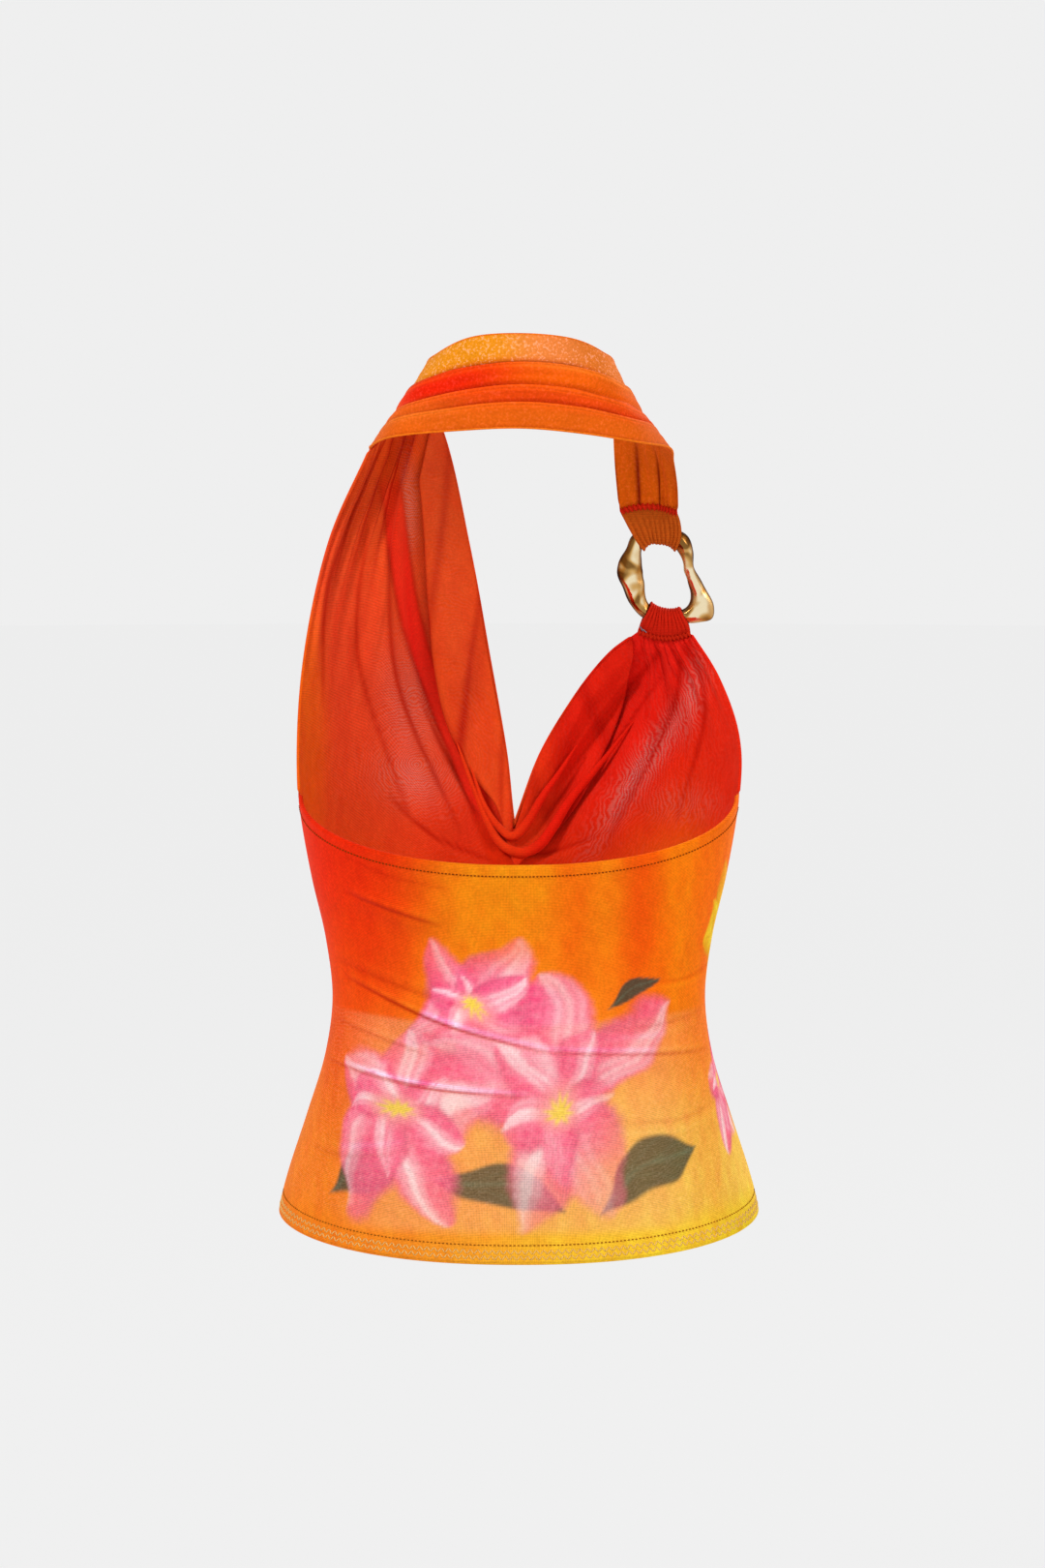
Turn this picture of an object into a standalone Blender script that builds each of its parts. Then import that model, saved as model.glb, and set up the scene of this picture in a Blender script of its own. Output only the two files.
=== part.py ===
"""A sleeveless mesh halter top, held open as if worn.

The back is a low band of printed stretch mesh. The front rises to the left shoulder, where it is
gathered to a pleated neck band, and to a cast ring on the right. The neck band goes round the nape,
over the right shoulder and down to the same ring. The neckline between is a soft cowl.

Metres, +Z up. The origin is at the nape, on the inner side of the neck band. The wearer faces +Y,
so -Y is the side of the back and +X is the wearer's right.
"""

import math
from collections import namedtuple

import bmesh
import bpy
import numpy as np

# Driving sizes
CLOTH = 0.0012
SEAM_GAP = 0.0004
LAYER_STEP = CLOTH + SEAM_GAP
SIDE_DEPTH = 0.052
SECTION_POWER = 2.2
HEM_HEIGHT = -0.531
HEM_DIP_BACK = 0.0160
HEM_DIP_FRONT = 0.011
UNDERARM_HEIGHT = -0.261
BACK_TOP_DIP = 0.039
CHEST_LINE_SAG = 0.084
TOP_TURNING = 0.0070
HEM_TURNING = 0.0135
RING_SEAM_SAG = 0.0040
TURNING_GAP = 0.0002
FACING_STAND_OFF = (0.0011, 0.0030)

# The hollow form at each height: half its width, and where its middle lies in front and behind
Section = namedtuple("Section", "name height half_width front back")
FIGURE = (
    Section("hem", -0.560, 0.1620, 0.1500, -0.0510),
    Section("hip", -0.510, 0.1497, 0.1500, -0.0460),
    Section("high hip", -0.470, 0.1367, 0.1475, -0.0340),
    Section("low waist", -0.430, 0.1245, 0.1430, -0.0170),
    Section("waist", -0.395, 0.1198, 0.1400, -0.0090),
    Section("high waist", -0.355, 0.1240, 0.1410, -0.0130),
    Section("ribs", -0.315, 0.1330, 0.1490, -0.0250),
    Section("underarm", -0.262, 0.1415, 0.1660, -0.0370),
    Section("bust", -0.225, 0.1435, 0.1700, -0.0400),
    Section("upper chest", -0.180, 0.1420, 0.1600, -0.0400),
    Section("collar bone", -0.120, 0.1340, 0.1370, -0.0350),
    Section("shoulder", -0.060, 0.1180, 0.1080, -0.0250),
    Section("neck root", 0.000, 0.0900, 0.0760, -0.0100),
)
UNDERARM = FIGURE[7]

# Points on the front's edges, with how far round the front each lies, from the right side seam
EdgePoint = namedtuple("EdgePoint", "name along x y z")
NECKLINE_RIGHT = (
    EdgePoint("ring side", 0.28, 0.0785, 0.1315, -0.1620),
    EdgePoint("below the ring", 0.34, 0.0585, 0.1430, -0.1785),
    EdgePoint("right slope", 0.40, 0.0355, 0.1560, -0.2095),
    EdgePoint("above the point", 0.46, 0.0115, 0.1630, -0.2530),
    EdgePoint("point", 0.50, -0.0035, 0.1590, -0.2925),
)
NECKLINE_LEFT = (
    EdgePoint("point", 0.50, -0.0035, 0.1590, -0.2925),
    EdgePoint("left of the point", 0.55, -0.0088, 0.1645, -0.2470),
    EdgePoint("left slope", 0.62, -0.0215, 0.1560, -0.1715),
    EdgePoint("collar bone", 0.69, -0.0335, 0.1330, -0.1040),
    EdgePoint("neck", 0.74, -0.0460, 0.1050, -0.0430),
    EdgePoint("shoulder", 0.78, -0.0585, 0.0780, -0.0040),
)
ARMHOLE_RIGHT = (
    EdgePoint("side seam", 0.00, 0.1415, 0.0520, -0.2610),
    EdgePoint("underarm", 0.28, 0.1430, 0.0740, -0.2320),
    EdgePoint("chest", 0.58, 0.1350, 0.0980, -0.1990),
    EdgePoint("upper chest", 0.80, 0.1240, 0.1130, -0.1800),
    EdgePoint("ring", 1.00, 0.1135, 0.1270, -0.1630),
)
ARMHOLE_LEFT = (
    EdgePoint("side seam", 0.00, -0.1415, 0.0520, -0.2610),
    EdgePoint("underarm", 0.17, -0.1437, 0.0740, -0.2240),
    EdgePoint("chest", 0.40, -0.1385, 0.0950, -0.1700),
    EdgePoint("upper chest", 0.63, -0.1270, 0.1000, -0.1140),
    EdgePoint("collar bone", 0.84, -0.1110, 0.0880, -0.0680),
    EdgePoint("shoulder", 1.00, -0.0955, 0.0660, -0.0405),
)
RING_GATHER_END = 0.28
SHOULDER_GATHER_START = 0.78

# How the front's rows lie up it, as shares: first up the body, then from the chest line to the edge
BODY_ROWS = (0.0, 0.17, 0.34, 0.51, 0.68, 0.84, 1.0)
UPPER_ROWS = (0.34, 0.68, 1.0)
CHEST_LINE_ROW = 0.62
LAYER_NORMAL_ROW = 0.80

# Soft folds: a path over three places seen from the back, its height off the cloth and its width
Fold = namedtuple("Fold", "name start_x start_z middle_x middle_z end_x end_z lift width")
BACK_FOLDS = (
    Fold("waist drag", -0.108, -0.383, -0.012, -0.418, 0.112, -0.428, 0.0034, 0.0095),
    Fold("low drag", -0.116, -0.438, -0.070, -0.446, -0.012, -0.449, 0.0024, 0.0085),
    Fold("rib drag", -0.104, -0.319, -0.080, -0.329, -0.052, -0.338, 0.0018, 0.0085),
)
FRONT_FOLDS = (
    Fold("cowl fold from the ring", 0.094, -0.176, 0.050, -0.232, 0.004, -0.312, 0.0062, 0.0130),
    Fold("second ring fold", 0.100, -0.178, 0.078, -0.246, 0.040, -0.322, -0.0054, 0.0130),
    Fold("third ring fold", 0.108, -0.180, 0.106, -0.238, 0.088, -0.306, 0.0044, 0.0120),
    Fold("cowl fold from the shoulder", -0.074, -0.060, -0.060, -0.190, -0.012, -0.312, 0.0062, 0.0140),
    Fold("second shoulder fold", -0.084, -0.070, -0.088, -0.190, -0.048, -0.312, -0.0050, 0.0130),
    Fold("third shoulder fold", -0.092, -0.070, -0.114, -0.160, -0.104, -0.250, 0.0038, 0.0120),
    Fold("fold under the point", -0.060, -0.318, -0.004, -0.336, 0.056, -0.322, 0.0050, 0.0110),
    Fold("waist drag", 0.100, -0.392, 0.010, -0.424, -0.104, -0.418, 0.0034, 0.0110),
)
RING_GATHERS = 4
RING_GATHER_LIFT = 0.0020
SHOULDER_GATHERS = 4
SHOULDER_GATHER_LIFT = 0.0024

# How far the cowl facing hangs down behind the front, at places along the neckline
FacingPoint = namedtuple("FacingPoint", "name along drop")
FACING = (
    FacingPoint("ring seam", 0.29, 0.012),
    FacingPoint("below the ring", 0.33, 0.046),
    FacingPoint("right slope", 0.40, 0.066),
    FacingPoint("above the point", 0.46, 0.052),
    FacingPoint("point", 0.50, 0.026),
    FacingPoint("left of the point", 0.54, 0.032),
    FacingPoint("left slope", 0.62, 0.078),
    FacingPoint("collar bone", 0.70, 0.090),
    FacingPoint("shoulder seam", 0.77, 0.050),
)

# The neck band's stations: its neck edge, its outer edge and how far it bows out between them
BandRow = namedtuple("BandRow", "name neck_x neck_y neck_z outer_x outer_y outer_z bow")
BAND = (
    BandRow("shoulder seam", -0.0586, 0.0776, -0.0033, -0.0951, 0.0654, -0.0400, 0.0),
    BandRow("left crest", -0.0590, 0.0530, 0.0120, -0.0945, 0.0490, -0.0385, -0.0015),
    BandRow("behind left", -0.0505, 0.0270, 0.0205, -0.0800, 0.0180, -0.0320, 0.0005),
    BandRow("left nape", -0.0285, 0.0085, 0.0302, -0.0370, 0.0030, -0.0277, 0.0015),
    BandRow("nape", 0.0020, 0.0035, 0.0322, 0.0020, -0.0010, -0.0262, 0.002),
    BandRow("right nape", 0.0330, 0.0085, 0.0292, 0.0400, 0.0030, -0.0296, 0.0015),
    BandRow("behind right", 0.0525, 0.0270, 0.0212, 0.0775, 0.0200, -0.0357, -0.0010),
    BandRow("right crest", 0.0615, 0.0530, 0.0118, 0.0967, 0.0520, -0.0398, -0.0028),
    BandRow("below the crest", 0.0612, 0.0760, -0.0160, 0.0995, 0.0745, -0.0490, -0.0010),
    BandRow("strap", 0.0628, 0.0960, -0.0500, 0.1025, 0.0930, -0.0660, 0.001),
    BandRow("strap end", 0.0660, 0.1090, -0.0815, 0.1035, 0.1050, -0.0825, 0.0),
)

# Pleats of the band: where each one's lip runs across it, at both crests and at the nape
Pleat = namedtuple("Pleat", "name left nape right lift")
PLEATS = (
    Pleat("upper", 0.45, 0.33, 0.38, 0.0022),
    Pleat("middle", 0.70, 0.57, 0.68, 0.0024),
    Pleat("lower", 0.84, 0.75, 0.80, 0.0022),
)
PLEAT_STATIONS = (0.10, 0.42, 0.70)
PLEAT_LIP = 0.034
STRAP_GATHERS = 3
STRAP_GATHER_LIFT = 0.0018
STRAP_ARCH = 0.014

# The cast ring: its opening and outline from its centre, and half its depth, at each angle
RING_CENTRE = (0.0955, 0.1235, -0.1265)
RING_TILT = math.radians(12.0)
RingPoint = namedtuple("RingPoint", "angle opening outline half_depth")
RING = (
    RingPoint(0, 0.0152, 0.0240, 0.0028),
    RingPoint(23, 0.0142, 0.0213, 0.0030),
    RingPoint(45, 0.0168, 0.0268, 0.0036),
    RingPoint(63, 0.0203, 0.0328, 0.0040),
    RingPoint(80, 0.0240, 0.0340, 0.0036),
    RingPoint(98, 0.0258, 0.0342, 0.0034),
    RingPoint(114, 0.0272, 0.0356, 0.0034),
    RingPoint(126, 0.0246, 0.0360, 0.0036),
    RingPoint(140, 0.0186, 0.0324, 0.0038),
    RingPoint(160, 0.0150, 0.0318, 0.0042),
    RingPoint(176, 0.0138, 0.0308, 0.0042),
    RingPoint(195, 0.0132, 0.0282, 0.0040),
    RingPoint(218, 0.0156, 0.0280, 0.0036),
    RingPoint(245, 0.0200, 0.0300, 0.0034),
    RingPoint(270, 0.0222, 0.0306, 0.0034),
    RingPoint(294, 0.0240, 0.0330, 0.0036),
    RingPoint(309, 0.0240, 0.0380, 0.0038),
    RingPoint(320, 0.0226, 0.0418, 0.0038),
    RingPoint(330, 0.0204, 0.0382, 0.0036),
    RingPoint(343, 0.0172, 0.0300, 0.0030),
)
UPPER_LOOP_ANGLES = (125.0, 69.0)
LOWER_LOOP_ANGLES = (243.0, 299.0)
LOOP_CLEARANCE = 0.0010
LOOP_JOIN = 0.82
LOOP_FLAT = 0.45
LOOP_KNEE = 1.4
LOOP_GATHERS = 3
LOOP_GATHER_LIFT = 0.0005

# Grid counts: spans of columns round the front, then columns and rows of the other pieces
FRONT_SPANS = ((0.0, 0.28, 15), (0.28, 0.50, 12), (0.50, 0.78, 14), (0.78, 1.0, 13))
FRONT_ROWS = 26
BACK_COLUMNS = 32
BACK_ROWS = 24
FACING_ROWS = 6
BAND_STATIONS = 38
LOOP_GRID = (9, 16)
RING_GRID = (44, 8)

# Colours, roughness and metal of each finish
Finish = namedtuple("Finish", "colour roughness metallic")
RED_MESH = Finish((0.60, 0.05, 0.012), 0.75, 0.0)
ORANGE_MESH = Finish((0.85, 0.19, 0.008), 0.75, 0.0)
STRAP_MESH = Finish((0.72, 0.12, 0.010), 0.75, 0.0)
GOLD = Finish((0.80, 0.55, 0.24), 0.16, 1.0)


def smooth_rows(knots, rows, at):
    """The smooth curve through rows, one for each knot, read at the places asked for."""
    knots = np.asarray(knots, float)
    rows = np.asarray(rows, float)
    at = np.clip(np.asarray(at, float), knots[0], knots[-1])
    slopes = np.empty_like(rows)
    gaps = np.diff(knots).reshape((-1,) + (1,) * (rows.ndim - 1))
    steps = np.diff(rows, axis=0) / gaps
    slopes[0], slopes[-1] = steps[0], steps[-1]
    slopes[1:-1] = (steps[:-1] * gaps[1:] + steps[1:] * gaps[:-1]) / (gaps[1:] + gaps[:-1])
    k = np.clip(np.searchsorted(knots, at, side="right") - 1, 0, len(knots) - 2)
    gap = knots[k + 1] - knots[k]
    t = (at - knots[k]) / gap
    shape = t.shape + (1,) * (slopes.ndim - 1 - (rows.ndim > 2))
    t, gap = t.reshape(shape), gap.reshape(shape)
    if rows.ndim > 2:
        column = np.arange(rows.shape[1])
        low, high = rows[k, column], rows[k + 1, column]
        leave, arrive = slopes[k, column], slopes[k + 1, column]
    else:
        low, high, leave, arrive = rows[k], rows[k + 1], slopes[k], slopes[k + 1]
    return (
        low * (2 * t**3 - 3 * t**2 + 1)
        + high * (3 * t**2 - 2 * t**3)
        + leave * gap * (t**3 - 2 * t**2 + t)
        + arrive * gap * (t**3 - t**2)
    )


def ease(low, high, at):
    """0 below low, 1 above high and a soft step between."""
    t = np.clip((np.asarray(at, float) - low) / (high - low), 0, 1)
    return t * t * (3 - 2 * t)


def mix(first, second, share):
    return first + (second - first) * share


def points(x, y, z):
    return np.stack(np.broadcast_arrays(x, y, z), axis=-1).astype(float)


def unit(vectors):
    return vectors / np.maximum(np.linalg.norm(vectors, axis=-1, keepdims=True), 1e-12)


# The hollow form
def figure_sizes(height):
    knots = [s.height for s in FIGURE]
    rows = [(s.half_width, s.front, s.back) for s in FIGURE]
    return smooth_rows(knots, rows, height).T


def round_power(value):
    return np.sign(value) * np.abs(value) ** (2 / SECTION_POWER)


def figure(angle, height):
    """A point of the form: angle 0 at the wearer's right side, a quarter turn at the front."""
    half_width, front, back = figure_sizes(height)
    turn = round_power(np.sin(angle))
    depth = np.where(turn > 0, front - SIDE_DEPTH, SIDE_DEPTH - back)
    return points(half_width * round_power(np.cos(angle)), SIDE_DEPTH + depth * turn, height)


def figure_front(x, height):
    """How far forward the form is at a place seen from the front."""
    half_width, front, _ = figure_sizes(height)
    across = np.clip(np.abs(x) / half_width, 0, 1) ** SECTION_POWER
    return SIDE_DEPTH + (front - SIDE_DEPTH) * (1 - across) ** (1 / SECTION_POWER)


def hem_height(angle):
    dip = np.where(np.sin(angle) > 0, HEM_DIP_FRONT, HEM_DIP_BACK)
    return HEM_HEIGHT - dip * np.abs(np.sin(angle)) ** 1.3


# Folds
def across_and_along(fold, x, z):
    """How far places lie from a fold's path, signed, and how far along it they are."""
    knots = (0.0, 0.5, 1.0)
    path = np.array(
        [
            (fold.start_x, fold.start_z),
            (fold.middle_x, fold.middle_z),
            (fold.end_x, fold.end_z),
        ]
    )
    along = np.linspace(0, 1, 25)
    line = smooth_rows(knots, path, along)
    heading = unit(np.gradient(line, axis=0))
    away_x = x[..., None] - line[:, 0]
    away_z = z[..., None] - line[:, 1]
    nearest = np.argmin(away_x**2 + away_z**2, axis=-1)
    pick_x = np.take_along_axis(away_x, nearest[..., None], -1)[..., 0]
    pick_z = np.take_along_axis(away_z, nearest[..., None], -1)[..., 0]
    run = heading[nearest]
    length = np.linalg.norm(np.diff(line, axis=0), axis=1).sum()
    past = (run[..., 0] * pick_x + run[..., 1] * pick_z) / length
    return run[..., 0] * pick_z - run[..., 1] * pick_x, np.clip(along[nearest] + past, 0, 1)


def fold_lift(folds, x, z):
    """Each fold as a soft ridge with a trough beside it, fading at both ends."""
    total = np.zeros_like(x)
    for fold in folds:
        off, along = across_and_along(fold, x, z)
        ridge = np.exp(-((off / fold.width) ** 2))
        trough = np.exp(-(((off + 1.6 * fold.width) / fold.width) ** 2))
        total += fold.lift * (ridge - 0.5 * trough) * np.sin(math.pi * along) ** 0.6
    return total


# The front
def edge_curve(edge, along):
    return smooth_rows([p.along for p in edge], [(p.x, p.y, p.z) for p in edge], along)


def straight(first, last, share):
    start = np.array((first.x, first.y, first.z))
    end = np.array((last.x, last.y, last.z))
    return start + (end - start) * share[..., None]


def neckline(u):
    """The front's top edge: the ring gather, the cowl and the shoulder gather."""
    u = np.asarray(u, float)
    ring_gather = straight(ARMHOLE_RIGHT[-1], NECKLINE_RIGHT[0], u / RING_GATHER_END)
    ring_gather[..., 2] -= RING_SEAM_SAG * np.sin(math.pi * np.clip(u / RING_GATHER_END, 0, 1))
    share = (u - SHOULDER_GATHER_START) / (1 - SHOULDER_GATHER_START)
    shoulder_gather = straight(NECKLINE_LEFT[-1], ARMHOLE_LEFT[-1], share)
    right, left = edge_curve(NECKLINE_RIGHT, u), edge_curve(NECKLINE_LEFT, u)
    cowl = np.where((u < NECKLINE_RIGHT[-1].along)[..., None], right, left)
    edge = np.where((u < RING_GATHER_END)[..., None], ring_gather, cowl)
    return np.where((u > SHOULDER_GATHER_START)[..., None], shoulder_gather, edge)


def chest_line(angle):
    return UNDERARM_HEIGHT - CHEST_LINE_SAG * np.abs(np.sin(angle)) ** 1.5


def side_margin(depth):
    """The angle that leaves half a seam gap at the side, for a form this deep."""
    return math.asin((0.55 * SEAM_GAP / depth) ** (SECTION_POWER / 2))


def front_angle(u):
    margin = side_margin(UNDERARM.front - SIDE_DEPTH)
    return mix(margin, math.pi - margin, u)


def above_chest(u, share):
    """Cloth between the chest line and the top edge, bent over the form between its edges."""
    angle = front_angle(u)
    low = figure(angle, chest_line(angle))
    high = neckline(u)
    place = mix(low, high, share)
    for edge, weight in ((ARMHOLE_RIGHT, 1 - u), (ARMHOLE_LEFT, u)):
        chord = mix(np.array(edge[0][2:]), np.array(edge[-1][2:]), share)
        bend = edge_curve(edge, share) - chord
        place = place + bend * (weight**3)[..., None]
    inside = np.sin(math.pi * share) ** 0.6 * ease(0.02, 0.30, u) * ease(0.02, 0.30, 1 - u)
    forward = figure_front(place[..., 0], place[..., 2])
    place[..., 1] = mix(place[..., 1], forward, inside)
    return place


def front_rows(u):
    angle = front_angle(u)
    low, high = hem_height(angle), chest_line(angle)
    rows = [figure(angle, mix(low, high, share)) for share in BODY_ROWS]
    return rows + [above_chest(u, share) for share in UPPER_ROWS]


def front_knots():
    body = [share * CHEST_LINE_ROW for share in BODY_ROWS]
    return body + [mix(CHEST_LINE_ROW, 1.0, share) for share in UPPER_ROWS]


def front_form(u, v):
    place = smooth_rows(front_knots(), front_rows(u), v)
    place[..., 1] = np.maximum(place[..., 1], SIDE_DEPTH + 0.5 * SEAM_GAP)
    return place


def gathers(u, v):
    """Waves that fan out of the ring and out of the shoulder seam, flat at the seam itself."""
    at_ring = np.clip(u / RING_GATHER_END, 0, 1)
    at_shoulder = np.clip((u - SHOULDER_GATHER_START) / (1 - SHOULDER_GATHER_START), 0, 1)
    seam_fade = 1 - ease(0.965, 0.995, v)
    near_ring = ease(0.72, 0.93, v) * seam_fade * ease(0.0, 0.1, at_ring) * ease(0.0, 0.1, 1 - at_ring)
    near_shoulder = ease(0.66, 0.90, v) * seam_fade
    near_shoulder = near_shoulder * ease(0.0, 0.1, at_shoulder) * ease(0.0, 0.1, 1 - at_shoulder)
    ring_wave = np.cos(2 * math.pi * RING_GATHERS * at_ring)
    shoulder_wave = np.cos(2 * math.pi * SHOULDER_GATHERS * at_shoulder**0.85)
    return (
        RING_GATHER_LIFT * ring_wave * near_ring
        + SHOULDER_GATHER_LIFT * shoulder_wave * near_shoulder
    )


def edge_fade(u, v):
    """Folds die out at the side seams, the hem and the top edge."""
    sides = ease(0.0, 0.06, u) * ease(0.0, 0.06, 1 - u)
    return sides * ease(0.0, 0.08, v) * (1 - ease(0.955, 0.995, v))


def facing_outwards(place, u, v):
    """Unit normals of a surface given as a function of u and v."""
    step = 1e-3
    along_u = place(np.clip(u + step, 0, 1), v) - place(np.clip(u - step, 0, 1), v)
    along_v = place(u, np.clip(v + step, 0, 1)) - place(u, np.clip(v - step, 0, 1))
    return unit(np.cross(along_u, along_v))


def front_cloth(u, v, outwards=0.0):
    """The front's middle surface, moved outwards by a distance if one is given."""
    place = front_form(u, v)
    normal = facing_outwards(front_form, u, v)
    lift = fold_lift(FRONT_FOLDS, place[..., 0], place[..., 2]) * edge_fade(u, v) + gathers(u, v)
    at_point = 1 - ease(0.02, 0.08, np.abs(u - NECKLINE_RIGHT[-1].along))
    steady = facing_outwards(front_form, u, np.minimum(v, LAYER_NORMAL_ROW))
    layer = unit(mix(normal, steady, at_point[..., None]))
    return place + normal * lift[..., None] + layer * outwards


def facing_cloth(u, v):
    """The cowl facing: turned in at the neckline, hanging free of the front at its lower edge."""
    drop = smooth_rows([p.along for p in FACING], [(p.drop,) for p in FACING], u)[..., 0]
    column = np.linalg.norm(neckline(u) - front_form(u, np.full_like(u, 0.8)), axis=-1)
    depth = np.clip(drop * 0.2 / np.maximum(column, 0.012), 0.02, 0.36)
    inwards = LAYER_STEP + mix(*FACING_STAND_OFF, v)
    at_point = 1 - ease(0.0, 0.05, np.abs(u - NECKLINE_RIGHT[-1].along))
    top = 0.998 - 0.035 * at_point
    return front_cloth(u, top - depth * v, -inwards[..., None])


# The back
def back_top(angle):
    return UNDERARM_HEIGHT - BACK_TOP_DIP * np.abs(round_power(np.sin(angle)))


def back_angle(u):
    margin = side_margin(SIDE_DEPTH - UNDERARM.back)
    return mix(math.pi + margin, 2 * math.pi - margin, u)


def back_form(u, v):
    angle = back_angle(u)
    return figure(angle, mix(hem_height(angle), back_top(angle), v))


def back_cloth(u, v, outwards=0.0):
    place = back_form(u, v)
    normal = facing_outwards(back_form, u, v)
    lift = fold_lift(BACK_FOLDS, place[..., 0], place[..., 2])
    lift = lift * ease(0.0, 0.05, u) * ease(0.0, 0.05, 1 - u)
    lift = lift * ease(0.03, 0.12, v) * ease(0.03, 0.12, 1 - v)
    return place + normal * (lift[..., None] + outwards)


# Turned edges lie inside the panel they belong to, one layer in
def turning(cloth, edge_row, depth_row):
    def place(u, v):
        trim = mix(0.006, 0.994, u)
        return cloth(trim, mix(edge_row, depth_row, v), -LAYER_STEP - TURNING_GAP)

    return place


# The neck band
def band_knots():
    neck = np.array([(r.neck_x, r.neck_y, r.neck_z) for r in BAND])
    outer = np.array([(r.outer_x, r.outer_y, r.outer_z) for r in BAND])
    lengths = np.linalg.norm(np.diff((neck + outer) / 2, axis=0), axis=1)
    return np.concatenate([[0], np.cumsum(lengths)]) / lengths.sum()


def band_edges(s):
    knots = band_knots()
    neck = smooth_rows(knots, [(r.neck_x, r.neck_y, r.neck_z) for r in BAND], s)
    outer = smooth_rows(knots, [(r.outer_x, r.outer_y, r.outer_z) for r in BAND], s)
    bow = smooth_rows(knots, [(r.bow,) for r in BAND], s)[..., 0]
    return neck, outer, bow


def pleat_place(s, w):
    """Where a line that runs along the band lies at a station: the pleats close up at the crests."""
    at_nape = [0.0] + [pleat.nape for pleat in PLEATS] + [1.0]
    here = [np.zeros_like(w)]
    for pleat in PLEATS:
        rows = [(pleat.left,), (pleat.nape,), (pleat.right,)]
        here.append(smooth_rows(PLEAT_STATIONS, rows, s)[..., 0])
    here.append(np.ones_like(w))
    placed = np.zeros_like(w)
    for k in range(len(PLEATS) + 1):
        share = np.clip((w - at_nape[k]) / (at_nape[k + 1] - at_nape[k]), 0, 1)
        placed += (here[k + 1] - here[k]) * share
    return placed


def band_form(s, w):
    """The band's form, with its last row arched where it is gathered above the ring."""
    s = s - STRAP_ARCH * np.sin(math.pi * w) * ease(0.85, 1.0, s)
    across = pleat_place(s, w)
    neck, outer, bow = band_edges(s)
    place = mix(neck, outer, across[..., None])
    ahead = band_edges(np.clip(s + 1e-3, 0, 1))
    behind = band_edges(np.clip(s - 1e-3, 0, 1))
    heading = mix(ahead[0] - behind[0], ahead[1] - behind[1], across[..., None])
    normal = unit(np.cross(outer - neck, heading))
    return place + normal * (bow * np.sin(math.pi * across))[..., None]


def pleat_lift(w):
    """Overlapping pleats: each steps out at its lip and sinks back to the next."""
    total = np.zeros_like(w)
    ends = [pleat.nape for pleat in PLEATS[1:]] + [1.04]
    for pleat, end in zip(PLEATS, ends):
        rise = ease(pleat.nape - PLEAT_LIP / 2, pleat.nape + PLEAT_LIP / 2, w)
        sink = 1 - ease(pleat.nape + PLEAT_LIP / 2, end - PLEAT_LIP / 2, w)
        total += pleat.lift * rise * sink
    return total


def band_cloth(s, w):
    place = band_form(s, w)
    normal = -facing_outwards(band_form, s, w)
    pleats = pleat_lift(w) * ease(0.0, 0.20, s) * (1 - ease(0.66, 0.80, s))
    strap = STRAP_GATHER_LIFT * np.cos(2 * math.pi * STRAP_GATHERS * w) * ease(0.80, 0.93, s)
    strap = strap * np.sin(math.pi * w) ** 0.5 * (1 - ease(0.96, 1.0, s))
    return place + normal * (pleats + strap)[..., None]


def band_columns():
    """Places across the band, close together where a pleat's lip turns."""
    places = [0.0, 0.16]
    ends = [pleat.nape for pleat in PLEATS[1:]] + [1.0]
    for pleat, end in zip(PLEATS, ends):
        places += [pleat.nape - PLEAT_LIP / 2, pleat.nape + PLEAT_LIP / 2, mix(pleat.nape, end, 0.6)]
    return np.array(places + [1.0])


# The ring and the loops that hold it
def ring_frame():
    """The ring's centre, its axis across the chest, its axis up the chest and its outward axis."""
    across = np.array((1.0, 0.0, 0.0))
    up = np.array((0.0, -math.sin(RING_TILT), math.cos(RING_TILT)))
    return np.array(RING_CENTRE), across, up, np.cross(up, across)


def ring_sizes(angle):
    """Opening, outline and half depth at angles in degrees, read round the closed ring."""
    knots = [p.angle for p in RING]
    rows = [p[1:] for p in RING]
    knots = [knots[-2] - 360, knots[-1] - 360] + knots + [knots[0] + 360, knots[1] + 360]
    rows = rows[-2:] + rows + rows[:2]
    return smooth_rows(knots, rows, np.mod(angle, 360)).T


def ring_bar(angle):
    """The bar's middle, its direction towards the opening, its outward axis and its half sizes."""
    centre, across, up, outwards = ring_frame()
    opening, outline, half_depth = ring_sizes(angle)
    turn = np.radians(angle)[..., None]
    radial = across * np.cos(turn) + up * np.sin(turn)
    middle = centre + radial * ((opening + outline) / 2)[..., None]
    return middle, -radial, outwards, (outline - opening) / 2, half_depth


def ring_surface(turn, round_bar):
    middle, inwards, outwards, half_width, half_depth = ring_bar(turn * 360.0)
    around = round_bar * 2 * math.pi
    side, depth = np.cos(around), np.sin(around)
    return (
        middle
        + inwards * (half_width * side)[..., None]
        + outwards * (half_depth * depth)[..., None]
    )


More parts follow.
